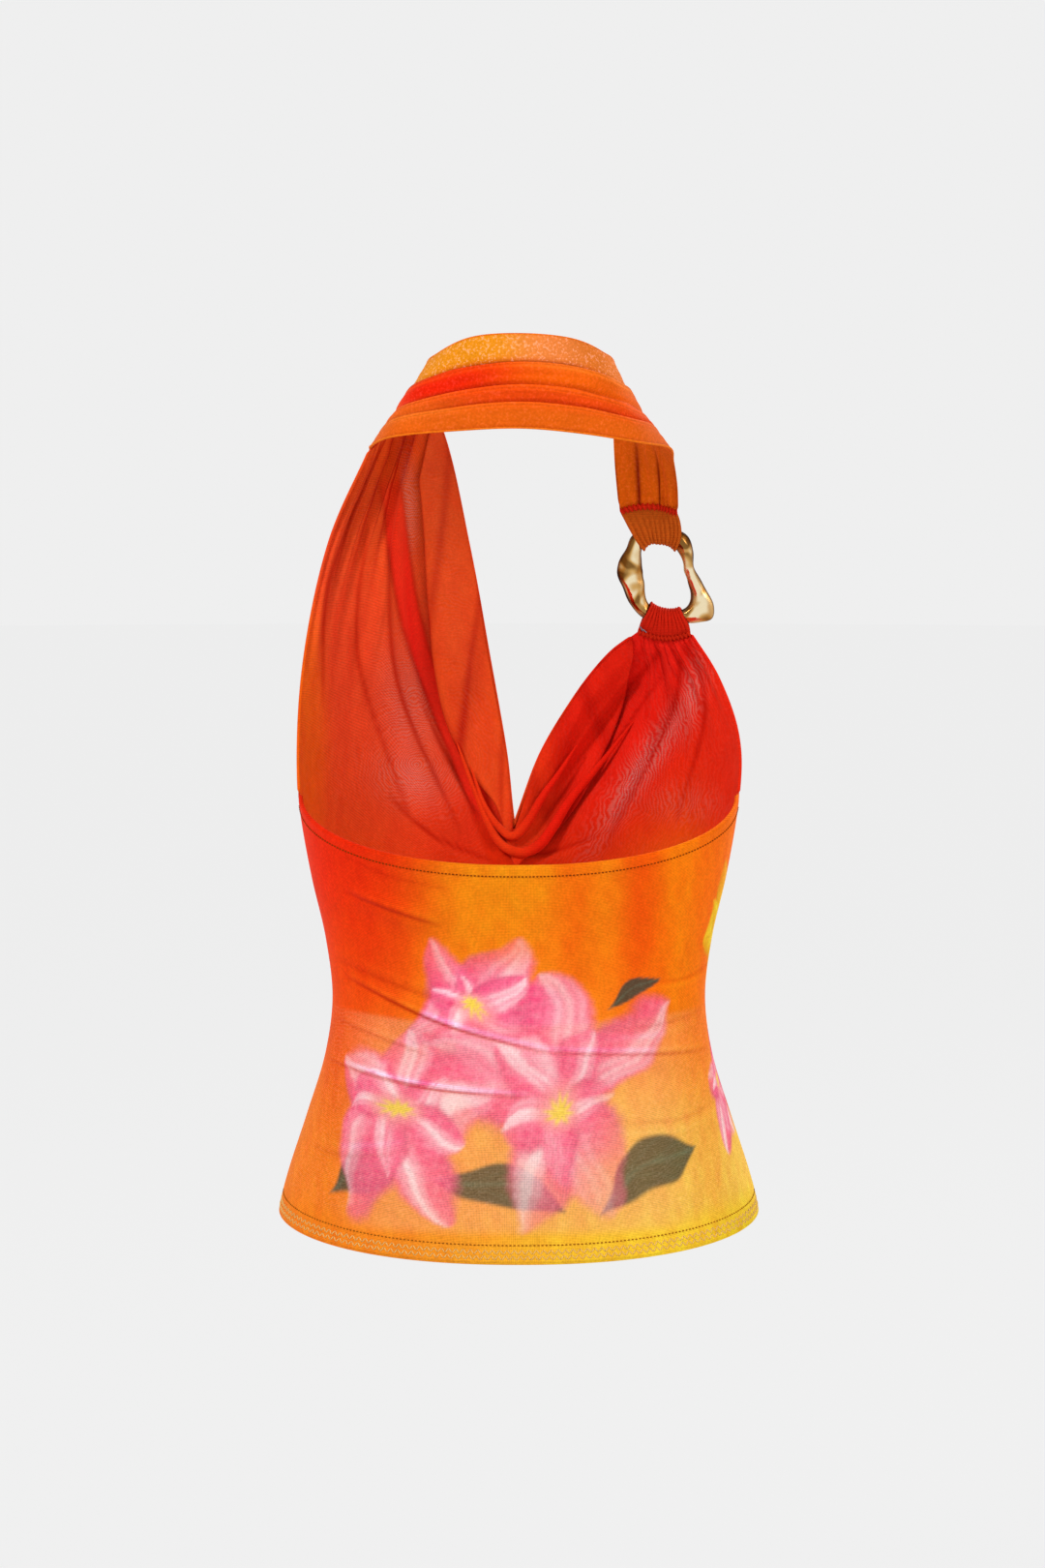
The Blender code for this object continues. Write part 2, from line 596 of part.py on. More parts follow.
def loop_surface(angles, seam):
    """A sleeve of cloth round the bar, closed at the seam: its outside, then back along its inside."""

    def place(u, t):
        columns = 2 * LOOP_GRID[0] + 2
        column = np.mod(np.rint(u * columns), columns)
        outside = column <= LOOP_GRID[0]
        along = np.where(outside, column, columns - 1 - column) / LOOP_GRID[0]
        middle, inwards, outwards, half_width, half_depth = ring_bar(mix(angles[0], angles[1], along))
        top = seam(along)
        half = 1 - np.abs(2 * np.mod(t, 1.0) - 1)
        side = np.where(np.mod(t, 1.0) < 0.5, 1.0, -1.0)
        to_bar = 1 - np.clip(half / LOOP_FLAT, 0, 1)
        turn = np.clip((half - LOOP_FLAT) / (1 - LOOP_FLAT), 0, 1) * math.pi / 2
        wall = np.where(outside, CLOTH, 0.0)
        reach = half_width + LOOP_CLEARANCE + wall
        depth = half_depth + LOOP_CLEARANCE + wall
        reach_up = np.where(outside, to_bar, to_bar * LOOP_JOIN)
        share = reach_up[..., None]
        knee = middle - inwards * (LOOP_KNEE * half_width)[..., None]
        path = (1 - share) ** 2 * middle + 2 * share * (1 - share) * knee + share**2 * top
        open_share = 1 - np.clip(reach_up / LOOP_JOIN, 0, 1) ** 1.6
        taper = (half_depth + LOOP_CLEARANCE) * open_share + wall
        taper = np.where(half < 1e-6, 0.0, taper)
        gather = LOOP_GATHER_LIFT * np.cos(2 * math.pi * LOOP_GATHERS * along)
        gather = np.where(outside, gather * np.sin(math.pi * np.clip(half, 0, 1)), 0.0)
        flat = path + outwards * (side * (taper + gather))[..., None]
        bend = (
            middle
            + inwards * ((reach + gather) * np.sin(turn))[..., None]
            + outwards * (side * (depth + gather) * np.cos(turn))[..., None]
        )
        return np.where((half < LOOP_FLAT)[..., None], flat, bend)

    return place


def upper_seam(u):
    """Just past the strap's end row, from its neck edge to its outer edge."""
    end, before = np.full_like(u, 1.0), np.full_like(u, 0.985)
    last = band_form(end, u)
    heading = unit(last - band_form(before, u))
    return last + heading * SEAM_GAP


def lower_seam(u):
    """Just past the front's ring gather, from its neckline end to its armhole end."""
    along = RING_GATHER_END * (1 - u)
    last = neckline(along)
    heading = unit(last - front_form(along, np.full_like(u, 0.985)))
    return last + heading * SEAM_GAP


# Making the solids
def clear_scene():
    for obj in list(bpy.data.objects):
        bpy.data.objects.remove(obj, do_unlink=True)


def material_of(name, finish):
    material = bpy.data.materials.new(name)
    material.use_nodes = True
    shader = material.node_tree.nodes["Principled BSDF"]
    shader.inputs["Base Color"].default_value = (*finish.colour, 1.0)
    shader.inputs["Roughness"].default_value = finish.roughness
    shader.inputs["Metallic"].default_value = finish.metallic
    return material


def add_object(name, mesh_maker, finish, thickness=None):
    grid = bmesh.new()
    mesh_maker(grid)
    mesh = bpy.data.meshes.new(name)
    grid.to_mesh(mesh)
    grid.free()
    mesh.materials.append(material_of(name, finish))
    mesh.shade_smooth()
    obj = bpy.data.objects.new(name, mesh)
    bpy.context.scene.collection.objects.link(obj)
    if thickness:
        wall = obj.modifiers.new("cloth", "SOLIDIFY")
        wall.thickness = thickness
        wall.offset = 0.0
        wall.use_even_offset = True
        wall.use_quality_normals = True
    return obj


def bend_grid(grid, columns, rows, place, u_places=None, v_places=None):
    """A flat grid bent to a surface: its corners' places in the square become u and v."""
    bmesh.ops.create_grid(grid, x_segments=columns, y_segments=rows, size=0.5)
    flat = np.array([vert.co for vert in grid.verts])
    u = np.clip(flat[:, 0] + 0.5, 0, 1)
    v = np.clip(flat[:, 1] + 0.5, 0, 1)
    if u_places is not None:
        u = u_places[np.rint(u * columns).astype(int)]
    if v_places is not None:
        v = v_places[np.rint(v * rows).astype(int)]
    for vert, co in zip(grid.verts, place(u, v)):
        vert.co = co


def panel(name, columns, rows, place, finish, **places):
    def make(grid):
        bend_grid(grid, columns, rows, place, **places)

    return add_object(name, make, finish, thickness=CLOTH)


def closed_ring(name, around, section, place, finish):
    def make(grid):
        bend_grid(grid, around, section, place)
        bmesh.ops.remove_doubles(grid, verts=grid.verts[:], dist=1e-6)
        bmesh.ops.recalc_face_normals(grid, faces=grid.faces[:])

    return add_object(name, make, finish)


def spans(table):
    """Places for columns laid out as spans of so many columns each."""
    places = [np.linspace(first, last, count + 1)[:-1] for first, last, count in table]
    return np.append(np.concatenate(places), table[-1][1])


def dense_rows(count, near, width, extra):
    """Rows set closer together near one place."""
    fine = np.linspace(0, 1, 401)
    density = 1 + extra * np.exp(-(((fine - near) / width) ** 2))
    total = np.concatenate([[0], np.cumsum((density[1:] + density[:-1]) / 2)])
    return np.interp(np.linspace(0, total[-1], count + 1), total, fine)


def build():
    clear_scene()
    back_rows = dense_rows(BACK_ROWS, 0.46, 0.15, 2.0)
    front_columns = spans(FRONT_SPANS)
    panel("back_panel", BACK_COLUMNS, BACK_ROWS, back_cloth, ORANGE_MESH, v_places=back_rows)
    panel(
        "front_panel",
        len(front_columns) - 1,
        FRONT_ROWS,
        front_cloth,
        RED_MESH,
        u_places=front_columns,
    )
    under_facing = (front_columns > FACING[0].along) & (front_columns < FACING[-1].along)
    facing_columns = np.concatenate(
        [[FACING[0].along], front_columns[under_facing], [FACING[-1].along]]
    )
    panel(
        "cowl_facing",
        len(facing_columns) - 1,
        FACING_ROWS,
        facing_cloth,
        RED_MESH,
        u_places=facing_columns,
    )
    across = band_columns()
    panel("neck_band", BAND_STATIONS, len(across) - 1, band_cloth, STRAP_MESH, v_places=across)
    body_height = UNDERARM_HEIGHT - HEM_HEIGHT
    hem_share = HEM_TURNING / body_height
    top_share = TOP_TURNING / (body_height - BACK_TOP_DIP / 2)
    top_turning = turning(back_cloth, 0.998, 1 - top_share)
    back_hem = turning(back_cloth, 0.002, hem_share)
    front_hem = turning(front_cloth, 0.002, hem_share * CHEST_LINE_ROW)
    panel("back_top_turning", BACK_COLUMNS, 1, top_turning, ORANGE_MESH)
    panel("back_hem_turning", BACK_COLUMNS, 1, back_hem, ORANGE_MESH)
    panel(
        "front_hem_turning",
        len(front_columns) - 1,
        1,
        front_hem,
        RED_MESH,
        u_places=front_columns,
    )
    loop_columns = 2 * LOOP_GRID[0] + 2
    upper_loop = loop_surface(UPPER_LOOP_ANGLES, upper_seam)
    lower_loop = loop_surface(LOWER_LOOP_ANGLES, lower_seam)
    closed_ring("upper_loop", loop_columns, LOOP_GRID[1], upper_loop, STRAP_MESH)
    closed_ring("lower_loop", loop_columns, LOOP_GRID[1], lower_loop, RED_MESH)
    closed_ring("ring", *RING_GRID, ring_surface, GOLD)


build()
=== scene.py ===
# %% [markdown]
# Lesson: a printed mesh halter top
#
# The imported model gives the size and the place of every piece. It comes in first and never moves. The
# shells, seams and finishes in this lesson are built over it, in metres, in the same frame.

# %% Load the frame
import math
from collections import namedtuple

import bmesh
import bpy
import numpy as np
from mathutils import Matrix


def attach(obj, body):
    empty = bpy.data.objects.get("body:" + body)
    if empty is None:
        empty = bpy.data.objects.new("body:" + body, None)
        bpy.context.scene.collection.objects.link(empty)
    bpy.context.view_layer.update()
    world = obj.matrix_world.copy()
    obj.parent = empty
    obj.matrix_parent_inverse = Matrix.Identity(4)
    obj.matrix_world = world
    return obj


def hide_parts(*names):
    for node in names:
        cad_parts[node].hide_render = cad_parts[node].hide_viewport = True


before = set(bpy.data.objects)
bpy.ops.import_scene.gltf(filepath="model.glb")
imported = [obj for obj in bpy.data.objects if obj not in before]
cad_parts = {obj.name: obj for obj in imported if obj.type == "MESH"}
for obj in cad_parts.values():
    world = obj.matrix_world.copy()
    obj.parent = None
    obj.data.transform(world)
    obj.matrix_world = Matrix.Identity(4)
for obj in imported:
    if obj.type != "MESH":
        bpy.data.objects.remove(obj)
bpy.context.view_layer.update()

print("CAD nodes:", sorted(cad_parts))

# %% [markdown]
# The camera looks at the back of the top, a little from above, with a long lens as in a catalogue
# picture. A long lens keeps the near back and the far front at almost the same scale. The vertical
# sensor fit makes the focal length depend on the height of the picture alone.

# %% Camera
LENS_MM = 95
SENSOR_HEIGHT_MM = 36
CAMERA_PLACE = (0.0024, -2.6, 0.0)
CAMERA_TILT = math.radians(84.5)

camera = bpy.data.objects.new("catalogue_camera", bpy.data.cameras.new("catalogue_camera"))
bpy.context.scene.collection.objects.link(camera)
camera.data.lens = LENS_MM
camera.data.sensor_fit = "VERTICAL"
camera.data.sensor_height = SENSOR_HEIGHT_MM
camera.data.clip_end = 60
camera.location = CAMERA_PLACE
camera.rotation_euler = (CAMERA_TILT, 0, 0)
bpy.context.scene.camera = camera
bpy.context.scene.view_settings.view_transform = "Standard"
print("camera at", tuple(round(c, 4) for c in camera.location), "lens", camera.data.lens)

# %% [markdown]
# A pale studio: the backdrop is even up to a little above the camera's view, and the ceiling over it is
# darker. Cloth then takes most of its light from the lamps, so that the folds have a light side and a
# dark side, and polished metal has something dark to mirror. The floor glows as bright as the backdrop,
# so that no horizon shows behind the top.

# %% Studio
PAPER = 0.863
CEILING = 0.16
BACKDROP_TOP = 0.58
CEILING_START = 0.82
FLOOR_HEIGHT = -0.95
FLOOR_RADIUS = 14.0
FLOOR_GLOW = 0.84
LAMP_AIM_HEIGHT = -0.26


def set_sockets(node, **values):
    for name, value in values.items():
        node.inputs[name.replace("_", " ")].default_value = value


def node_of(tree, kind, **values):
    """A new node, with its settings and its sockets given by name."""
    node = tree.nodes.new(kind)
    for name, value in values.items():
        if hasattr(node, name):
            setattr(node, name, value)
        else:
            set_sockets(node, **{name: value})
    return node


world = bpy.data.worlds.new("studio")
bpy.context.scene.world = world
world.use_nodes = True
sky = world.node_tree
direction = node_of(sky, "ShaderNodeTexCoord")
height = node_of(sky, "ShaderNodeSeparateXYZ")
ramp = node_of(sky, "ShaderNodeValToRGB")
stops = ramp.color_ramp.elements
stops[0].position, stops[1].position = BACKDROP_TOP, CEILING_START
stops[0].color = (PAPER, PAPER, PAPER, 1)
stops[1].color = (CEILING, CEILING, CEILING, 1)
centred = node_of(sky, "ShaderNodeMapRange", From_Min=-1.0, From_Max=1.0)
sky.links.new(direction.outputs["Generated"], height.inputs[0])
sky.links.new(height.outputs["Z"], centred.inputs["Value"])
sky.links.new(centred.outputs["Result"], ramp.inputs["Fac"])
sky.links.new(ramp.outputs["Color"], sky.nodes["Background"].inputs["Color"])

grid = bmesh.new()
bmesh.ops.create_circle(grid, cap_ends=True, segments=96, radius=FLOOR_RADIUS)
bmesh.ops.translate(grid, vec=(0, 0, FLOOR_HEIGHT), verts=grid.verts)
floor_mesh = bpy.data.meshes.new("floor")
grid.to_mesh(floor_mesh)
grid.free()
floor = bpy.data.objects.new("floor", floor_mesh)
bpy.context.scene.collection.objects.link(floor)
paper = bpy.data.materials.new("pale_paper")
paper.use_nodes = True
set_sockets(
    paper.node_tree.nodes["Principled BSDF"],
    Base_Color=(0.03, 0.03, 0.03, 1), Roughness=1.0, Specular_IOR_Level=0.0,
    Emission_Color=(1, 1, 1, 1), Emission_Strength=FLOOR_GLOW,
)
floor_mesh.materials.append(paper)

Lamp = namedtuple("Lamp", "name x y z size watts")
LAMPS = (
    Lamp("key", -1.6, -1.8, 1.9, 0.8, 58),
    Lamp("fill", 2.0, -1.6, 0.8, 1.2, 24),
    Lamp("front_key", 1.5, 2.1, 1.5, 0.9, 52),
    Lamp("front_fill", -1.9, 1.7, 0.3, 1.6, 12),
)
for lamp in LAMPS:
    light = bpy.data.lights.new(lamp.name, "AREA")
    light.size = lamp.size
    light.energy = lamp.watts
    holder = bpy.data.objects.new(lamp.name, light)
    bpy.context.scene.collection.objects.link(holder)
    holder.location = (lamp.x, lamp.y, lamp.z)
    aim = -holder.location
    aim.z += LAMP_AIM_HEIGHT
    holder.rotation_euler = aim.to_track_quat("-Z", "Y").to_euler()
print("lamps:", [lamp.name for lamp in LAMPS])

# %% [markdown]
# Cloth is easiest to shape as a flat grid that a formula bends. Two numbers between 0 and 1 say where a
# point lies in its piece: u across and v up. These small helpers blend between named rows of points.

# %% Blending helpers
def smooth_rows(knots, rows, at):
    """The smooth curve through rows, one for each knot, read at the places asked for."""
    knots = np.asarray(knots, float)
    rows = np.asarray(rows, float)
    at = np.clip(np.asarray(at, float), knots[0], knots[-1])
    slopes = np.empty_like(rows)
    gaps = np.diff(knots).reshape((-1,) + (1,) * (rows.ndim - 1))
    steps = np.diff(rows, axis=0) / gaps
    slopes[0], slopes[-1] = steps[0], steps[-1]
    slopes[1:-1] = (steps[:-1] * gaps[1:] + steps[1:] * gaps[:-1]) / (gaps[1:] + gaps[:-1])
    k = np.clip(np.searchsorted(knots, at, side="right") - 1, 0, len(knots) - 2)
    gap = knots[k + 1] - knots[k]
    t = (at - knots[k]) / gap
    shape = t.shape + (1,) * (slopes.ndim - 1 - (rows.ndim > 2))
    t, gap = t.reshape(shape), gap.reshape(shape)
    if rows.ndim > 2:
        column = np.arange(rows.shape[1])
        low, high = rows[k, column], rows[k + 1, column]
        leave, arrive = slopes[k, column], slopes[k + 1, column]
    else:
        low, high, leave, arrive = rows[k], rows[k + 1], slopes[k], slopes[k + 1]
    return (
        low * (2 * t**3 - 3 * t**2 + 1)
        + high * (3 * t**2 - 2 * t**3)
        + leave * gap * (t**3 - 2 * t**2 + t)
        + arrive * gap * (t**3 - t**2)
    )


def ease(low, high, at):
    """0 below low, 1 above high and a soft step between."""
    t = np.clip((np.asarray(at, float) - low) / (high - low), 0, 1)
    return t * t * (3 - 2 * t)


def bell(offset, width):
    return np.exp(-((offset / width) ** 2))


def arch(at, power=1.0):
    """0 at both ends of 0 to 1 and 1 in the middle. A low power makes it broad."""
    return np.sin(math.pi * at) ** power


def clear_of_ends(at, start, full):
    """0 near both ends of 0 to 1, and 1 further in."""
    return ease(start, full, at) * ease(start, full, 1 - at)


def mix(first, second, share):
    return first + (second - first) * share


def unit(vectors):
    return vectors / np.maximum(np.linalg.norm(vectors, axis=-1, keepdims=True), 1e-12)


def facing_outwards(place, u, v, step=1e-3):
    """Unit normals of a surface given as a function of u and v."""
    along_u = place(np.clip(u + step, 0, 1), v) - place(np.clip(u - step, 0, 1), v)
    along_v = place(u, np.clip(v + step, 0, 1)) - place(u, np.clip(v - step, 0, 1))
    return unit(np.cross(along_u, along_v))


def spans(table):
    """Places for columns laid out as spans of so many columns each."""
    laid = [np.linspace(first, last, count + 1)[:-1] for first, last, count in table]
    return np.append(np.concatenate(laid), table[-1][1])


print("a soft step from 0 to 1:", [round(float(ease(0, 1, t)), 2) for t in (0, 0.25, 0.5, 0.75, 1)])

# %% [markdown]
# The top is shown as worn, so its cloth follows a plain hollow form with no body detail. Each height has
# a half width and a depth to the front and to the back, the same numbers as in the CAD source.

# %% The hollow form
CLOTH = 0.0012
SEAM_GAP = 0.0004
LAYER_STEP = CLOTH + SEAM_GAP
SIDE_DEPTH = 0.052
SECTION_POWER = 2.2
HEM_HEIGHT = -0.531
HEM_DIP_BACK = 0.0160
HEM_DIP_FRONT = 0.011
UNDERARM_HEIGHT = -0.261
BACK_TOP_DIP = 0.039
CHEST_LINE_SAG = 0.084

Section = namedtuple("Section", "name height half_width front back")
FIGURE = (
    Section("hem", -0.560, 0.1620, 0.1500, -0.0510),
    Section("hip", -0.510, 0.1497, 0.1500, -0.0460),
    Section("high hip", -0.470, 0.1367, 0.1475, -0.0340),
    Section("low waist", -0.430, 0.1245, 0.1430, -0.0170),
    Section("waist", -0.395, 0.1198, 0.1400, -0.0090),
    Section("high waist", -0.355, 0.1240, 0.1410, -0.0130),
    Section("ribs", -0.315, 0.1330, 0.1490, -0.0250),
    Section("underarm", -0.262, 0.1415, 0.1660, -0.0370),
    Section("bust", -0.225, 0.1435, 0.1700, -0.0400),
    Section("upper chest", -0.180, 0.1420, 0.1600, -0.0400),
    Section("collar bone", -0.120, 0.1340, 0.1370, -0.0350),
    Section("shoulder", -0.060, 0.1180, 0.1080, -0.0250),
    Section("neck root", 0.000, 0.0900, 0.0760, -0.0100),
)
UNDERARM = FIGURE[7]


def figure_sizes(at_height):
    knots = [s.height for s in FIGURE]
    rows = [(s.half_width, s.front, s.back) for s in FIGURE]
    return smooth_rows(knots, rows, at_height).T


def round_power(value):
    return np.sign(value) * np.abs(value) ** (2 / SECTION_POWER)


def figure(angle, at_height):
    """A point of the form: angle 0 at the wearer's right side, a quarter turn at the front."""
    half_width, front, back = figure_sizes(at_height)
    turn = round_power(np.sin(angle))
    depth = np.where(turn > 0, front - SIDE_DEPTH, SIDE_DEPTH - back)
    across = half_width * round_power(np.cos(angle))
    return np.stack(np.broadcast_arrays(across, SIDE_DEPTH + depth * turn, at_height), axis=-1)


def figure_front(x, at_height):
    half_width, front, _ = figure_sizes(at_height)
    across = np.clip(np.abs(x) / half_width, 0, 1) ** SECTION_POWER
    return SIDE_DEPTH + (front - SIDE_DEPTH) * (1 - across) ** (1 / SECTION_POWER)


def hem_height(angle):
    dip = np.where(np.sin(angle) > 0, HEM_DIP_FRONT, HEM_DIP_BACK)
    return HEM_HEIGHT - dip * np.abs(np.sin(angle)) ** 1.3


print("waist width, mm:", round(2000 * min(s.half_width for s in FIGURE), 1))

# %% [markdown]
# A fold is a path over three places, with a height off the cloth and a width. Gravity folds are round,
# and drag creases in stretched mesh are sharp on their lower side. So each fold has a steepness: how
# much narrower its under side is. The first tables hold the main folds of the CAD source. The others are
# the finer creases that only a thin shell can carry.

# %% Tables of folds
Fold = namedtuple("Fold", "name start_x start_z middle_x middle_z end_x end_z lift width steep")
BACK_FOLDS = (
    Fold("waist drag", -0.108, -0.383, -0.012, -0.418, 0.112, -0.428, 0.0034, 0.0095, 1.0),
    Fold("low drag", -0.116, -0.438, -0.070, -0.446, -0.012, -0.449, 0.0024, 0.0085, 1.0),
    Fold("rib drag", -0.104, -0.319, -0.080, -0.329, -0.052, -0.338, 0.0018, 0.0085, 1.0),
)
BACK_CREASES = (
    Fold("waist crease", -0.110, -0.3740, -0.045, -0.4015, 0.026, -0.4195, 0.0024, 0.0046, 0.30),
    Fold("waist crease end", 0.008, -0.4170, 0.060, -0.4196, 0.122, -0.4225, 0.0014, 0.0044, 0.35),
    Fold("low crease", -0.1215, -0.4290, -0.062, -0.4395, 0.006, -0.4455, 0.0022, 0.0046, 0.30),
    Fold("upper drag", -0.118, -0.3600, -0.080, -0.3740, -0.030, -0.3900, 0.0007, 0.0060, 0.5),
    Fold("rib crease", -0.110, -0.3170, -0.080, -0.3270, -0.048, -0.3370, 0.0013, 0.0042, 0.4),
    Fold("right drag", 0.118, -0.4030, 0.088, -0.4090, 0.050, -0.4100, 0.0007, 0.0055, 0.5),
    Fold("right hip drag", 0.130, -0.4600, 0.100, -0.4680, 0.060, -0.4660, 0.0006, 0.0065, 0.5),
    Fold("left hip drag", -0.134, -0.4790, -0.108, -0.4820, -0.070, -0.4760, 0.0006, 0.0065, 0.5),
    Fold("under edge ripple", -0.110, -0.2920, -0.078, -0.3040, -0.040, -0.3110, 0.0006, 0.0050, 0.6),
    Fold("left waist ripple", -0.118, -0.4020, -0.088, -0.4110, -0.056, -0.4210, 0.0009, 0.0040, 0.4),
    Fold("side seam ripple", 0.128, -0.3700, 0.106, -0.3790, 0.076, -0.3800, 0.0008, 0.0044, 0.4),
)
FRONT_FOLDS = (
    Fold("cowl fold from the ring", 0.094, -0.176, 0.050, -0.232, 0.004, -0.312, 0.0062, 0.0130, 1.0),
    Fold("second ring fold", 0.100, -0.178, 0.078, -0.246, 0.040, -0.322, -0.0054, 0.0130, 1.0),
    Fold("third ring fold", 0.108, -0.180, 0.106, -0.238, 0.088, -0.306, 0.0044, 0.0120, 1.0),
    Fold("cowl fold from the shoulder", -0.074, -0.060, -0.060, -0.190, -0.012, -0.312, 0.0062, 0.0140, 1.0),
    Fold("second shoulder fold", -0.084, -0.070, -0.088, -0.190, -0.048, -0.312, -0.0050, 0.0130, 1.0),
    Fold("third shoulder fold", -0.092, -0.070, -0.114, -0.160, -0.104, -0.250, 0.0038, 0.0120, 1.0),
    Fold("fold under the point", -0.060, -0.318, -0.004, -0.336, 0.056, -0.322, 0.0050, 0.0110, 1.0),
    Fold("waist drag", 0.100, -0.392, 0.010, -0.424, -0.104, -0.418, 0.0034, 0.0110, 1.0),
)
FRONT_CREASES = (
    Fold("ring crease", 0.0964, -0.1716, 0.0485, -0.2341, 0.0089, -0.3040, 0.0030, 0.0060, 0.35),
    Fold("second ring crease", 0.0780, -0.1900, 0.0377, -0.2469, 0.0057, -0.3024, 0.0022, 0.0052, 0.35),
    Fold("inner ring crease", 0.0473, -0.1958, 0.0409, -0.2213, 0.0185, -0.2756, 0.0014, 0.0045, 0.4),
    Fold("outer ring crease", 0.1073, -0.1747, 0.0996, -0.2213, 0.0568, -0.3088, 0.0024, 0.0060, 0.4),
    Fold("side ring crease", 0.1160, -0.1766, 0.1226, -0.2181, 0.1047, -0.2884, 0.0018, 0.0060, 0.5),
    Fold("shoulder crease", -0.0760, -0.0900, -0.0664, -0.1926, -0.0250, -0.2930, 0.0032, 0.0060, 0.35),
    Fold("second shoulder crease", -0.0850, -0.0800, -0.0810, -0.1950, -0.0380, -0.3000, 0.0022, 0.0060, 0.4),
    Fold("bust crease", -0.0980, -0.0880, -0.1060, -0.1800, -0.0700, -0.2960, 0.0020, 0.0065, 0.5),
    Fold("outer lip", 0.0995, -0.1843, 0.0564, -0.2505, 0.0120, -0.3085, 0.0022, 0.0044, 0.4),
    Fold("left lip", -0.0700, -0.2000, -0.0420, -0.2600, -0.0060, -0.3060, 0.0024, 0.0050, 0.4),
    Fold("armhole crease", -0.1060, -0.0760, -0.1260, -0.1350, -0.1290, -0.2100, 0.0020, 0.0055, 0.5),
    Fold("low cowl crease", -0.0900, -0.2700, -0.0560, -0.3000, -0.0100, -0.3200, 0.0022, 0.0060, 0.4),
    Fold("right hammock fold", -0.0200, -0.3060, 0.0160, -0.3120, 0.0600, -0.2960, 0.0020, 0.0050, 0.4),
    Fold("drag over the waist", -0.0900, -0.3750, -0.0200, -0.3950, 0.0600, -0.3920, 0.0014, 0.0060, 0.4),
    Fold("drag at the hip", 0.1150, -0.4500, 0.0400, -0.4640, -0.0500, -0.4600, 0.0012, 0.0060, 0.4),
)


print("folds on the back:", len(BACK_FOLDS + BACK_CREASES))
print("folds on the front:", len(FRONT_FOLDS + FRONT_CREASES))

# %% [markdown]
# Two functions read those tables. One lifts the cloth off its form, as a soft ridge with a trough beside
# it. The other marks where a crease's line lies. The dyes darken that line as painted shade, which on the
# front also stands for the deeper colour of cloth folded on itself, and the back gets a painted highlight.

# %% Folds
TROUGH_AWAY = 1.6
TROUGH_DEPTH = 0.5
LINE_AWAY = 1.3
LINE_WIDTH = 0.26
FULL_TONE_LIFT = 0.0022


def across_and_along(fold, x, z):
    """How far places lie from a fold's path, signed, and how far along it they are."""
    path = [(fold.start_x, fold.start_z), (fold.middle_x, fold.middle_z), (fold.end_x, fold.end_z)]
    along = np.linspace(0, 1, 25)
    line = smooth_rows((0.0, 0.5, 1.0), path, along)
    heading = unit(np.gradient(line, axis=0))
    away_x = x[..., None] - line[:, 0]
    away_z = z[..., None] - line[:, 1]
    nearest = np.argmin(away_x**2 + away_z**2, axis=-1)
    pick_x = np.take_along_axis(away_x, nearest[..., None], -1)[..., 0]
    pick_z = np.take_along_axis(away_z, nearest[..., None], -1)[..., 0]
    run = heading[nearest]
    length = np.linalg.norm(np.diff(line, axis=0), axis=1).sum()
    past = (run[..., 0] * pick_x + run[..., 1] * pick_z) / length
    return run[..., 0] * pick_z - run[..., 1] * pick_x, np.clip(along[nearest] + past, 0, 1)


def fold_lift(folds, x, z):
    """Each fold as a soft ridge with a trough beside it, fading at both ends."""
    total = np.zeros_like(x)
    for fold in folds:
        off, along = across_and_along(fold, x, z)
        width = np.where(off < 0, fold.width * fold.steep, fold.width)
        ridge = bell(off, width)
        dip = TROUGH_AWAY * fold.width * fold.steep
        trough = bell(off + dip, fold.width * mix(0.4, 1.0, fold.steep))
        total += fold.lift * (ridge - TROUGH_DEPTH * trough) * arch(along, 0.6)
    return total


def crease_tone(folds, x, z, at_trough):
    """How deep in a crease each place lies, 0 to 1, on the side of the cloth that shows it."""
    tone = np.zeros_like(x)
    for fold in folds:
        off, along = across_and_along(fold, x, z)
        centre = -LINE_AWAY * fold.width * fold.steep * at_trough
        line = bell(off - centre, LINE_WIDTH * fold.width)
        depth = min(1.0, abs(fold.lift) / FULL_TONE_LIFT)
        tone = np.maximum(tone, depth * line * arch(along, 0.5))
    return tone


waist_drag = BACK_FOLDS[0]
middle = np.array([waist_drag.middle_x]), np.array([waist_drag.middle_z])
print("lift on the waist drag, mm:", 1000 * fold_lift(BACK_FOLDS, *middle))

# %% [markdown]
# The front is the longest piece. It runs from the hem up to a gathered seam at the left shoulder and to
# another one below the ring, with the cowl neckline hanging between. Its edges are short tables of
# named places, and its rows follow the hollow form.

# %% Front edges
EdgePoint = namedtuple("EdgePoint", "name along x y z")
NECKLINE_RIGHT = (
    EdgePoint("ring side", 0.28, 0.0785, 0.1315, -0.1620),
    EdgePoint("below the ring", 0.34, 0.0585, 0.1430, -0.1785),
    EdgePoint("right slope", 0.40, 0.0355, 0.1560, -0.2095),
    EdgePoint("above the point", 0.46, 0.0115, 0.1630, -0.2530),
    EdgePoint("point", 0.50, -0.0035, 0.1590, -0.2925),
)
NECKLINE_LEFT = (
    EdgePoint("point", 0.50, -0.0035, 0.1590, -0.2925),
    EdgePoint("left of the point", 0.55, -0.0088, 0.1645, -0.2470),
    EdgePoint("left slope", 0.62, -0.0215, 0.1560, -0.1715),
    EdgePoint("collar bone", 0.69, -0.0335, 0.1330, -0.1040),
    EdgePoint("neck", 0.74, -0.0460, 0.1050, -0.0430),
    EdgePoint("shoulder", 0.78, -0.0585, 0.0780, -0.0040),
)
ARMHOLE_RIGHT = (
    EdgePoint("side seam", 0.00, 0.1415, 0.0520, -0.2610),
    EdgePoint("underarm", 0.28, 0.1430, 0.0740, -0.2320),
    EdgePoint("chest", 0.58, 0.1350, 0.0980, -0.1990),
    EdgePoint("upper chest", 0.80, 0.1240, 0.1130, -0.1800),
    EdgePoint("ring", 1.00, 0.1135, 0.1270, -0.1630),
)
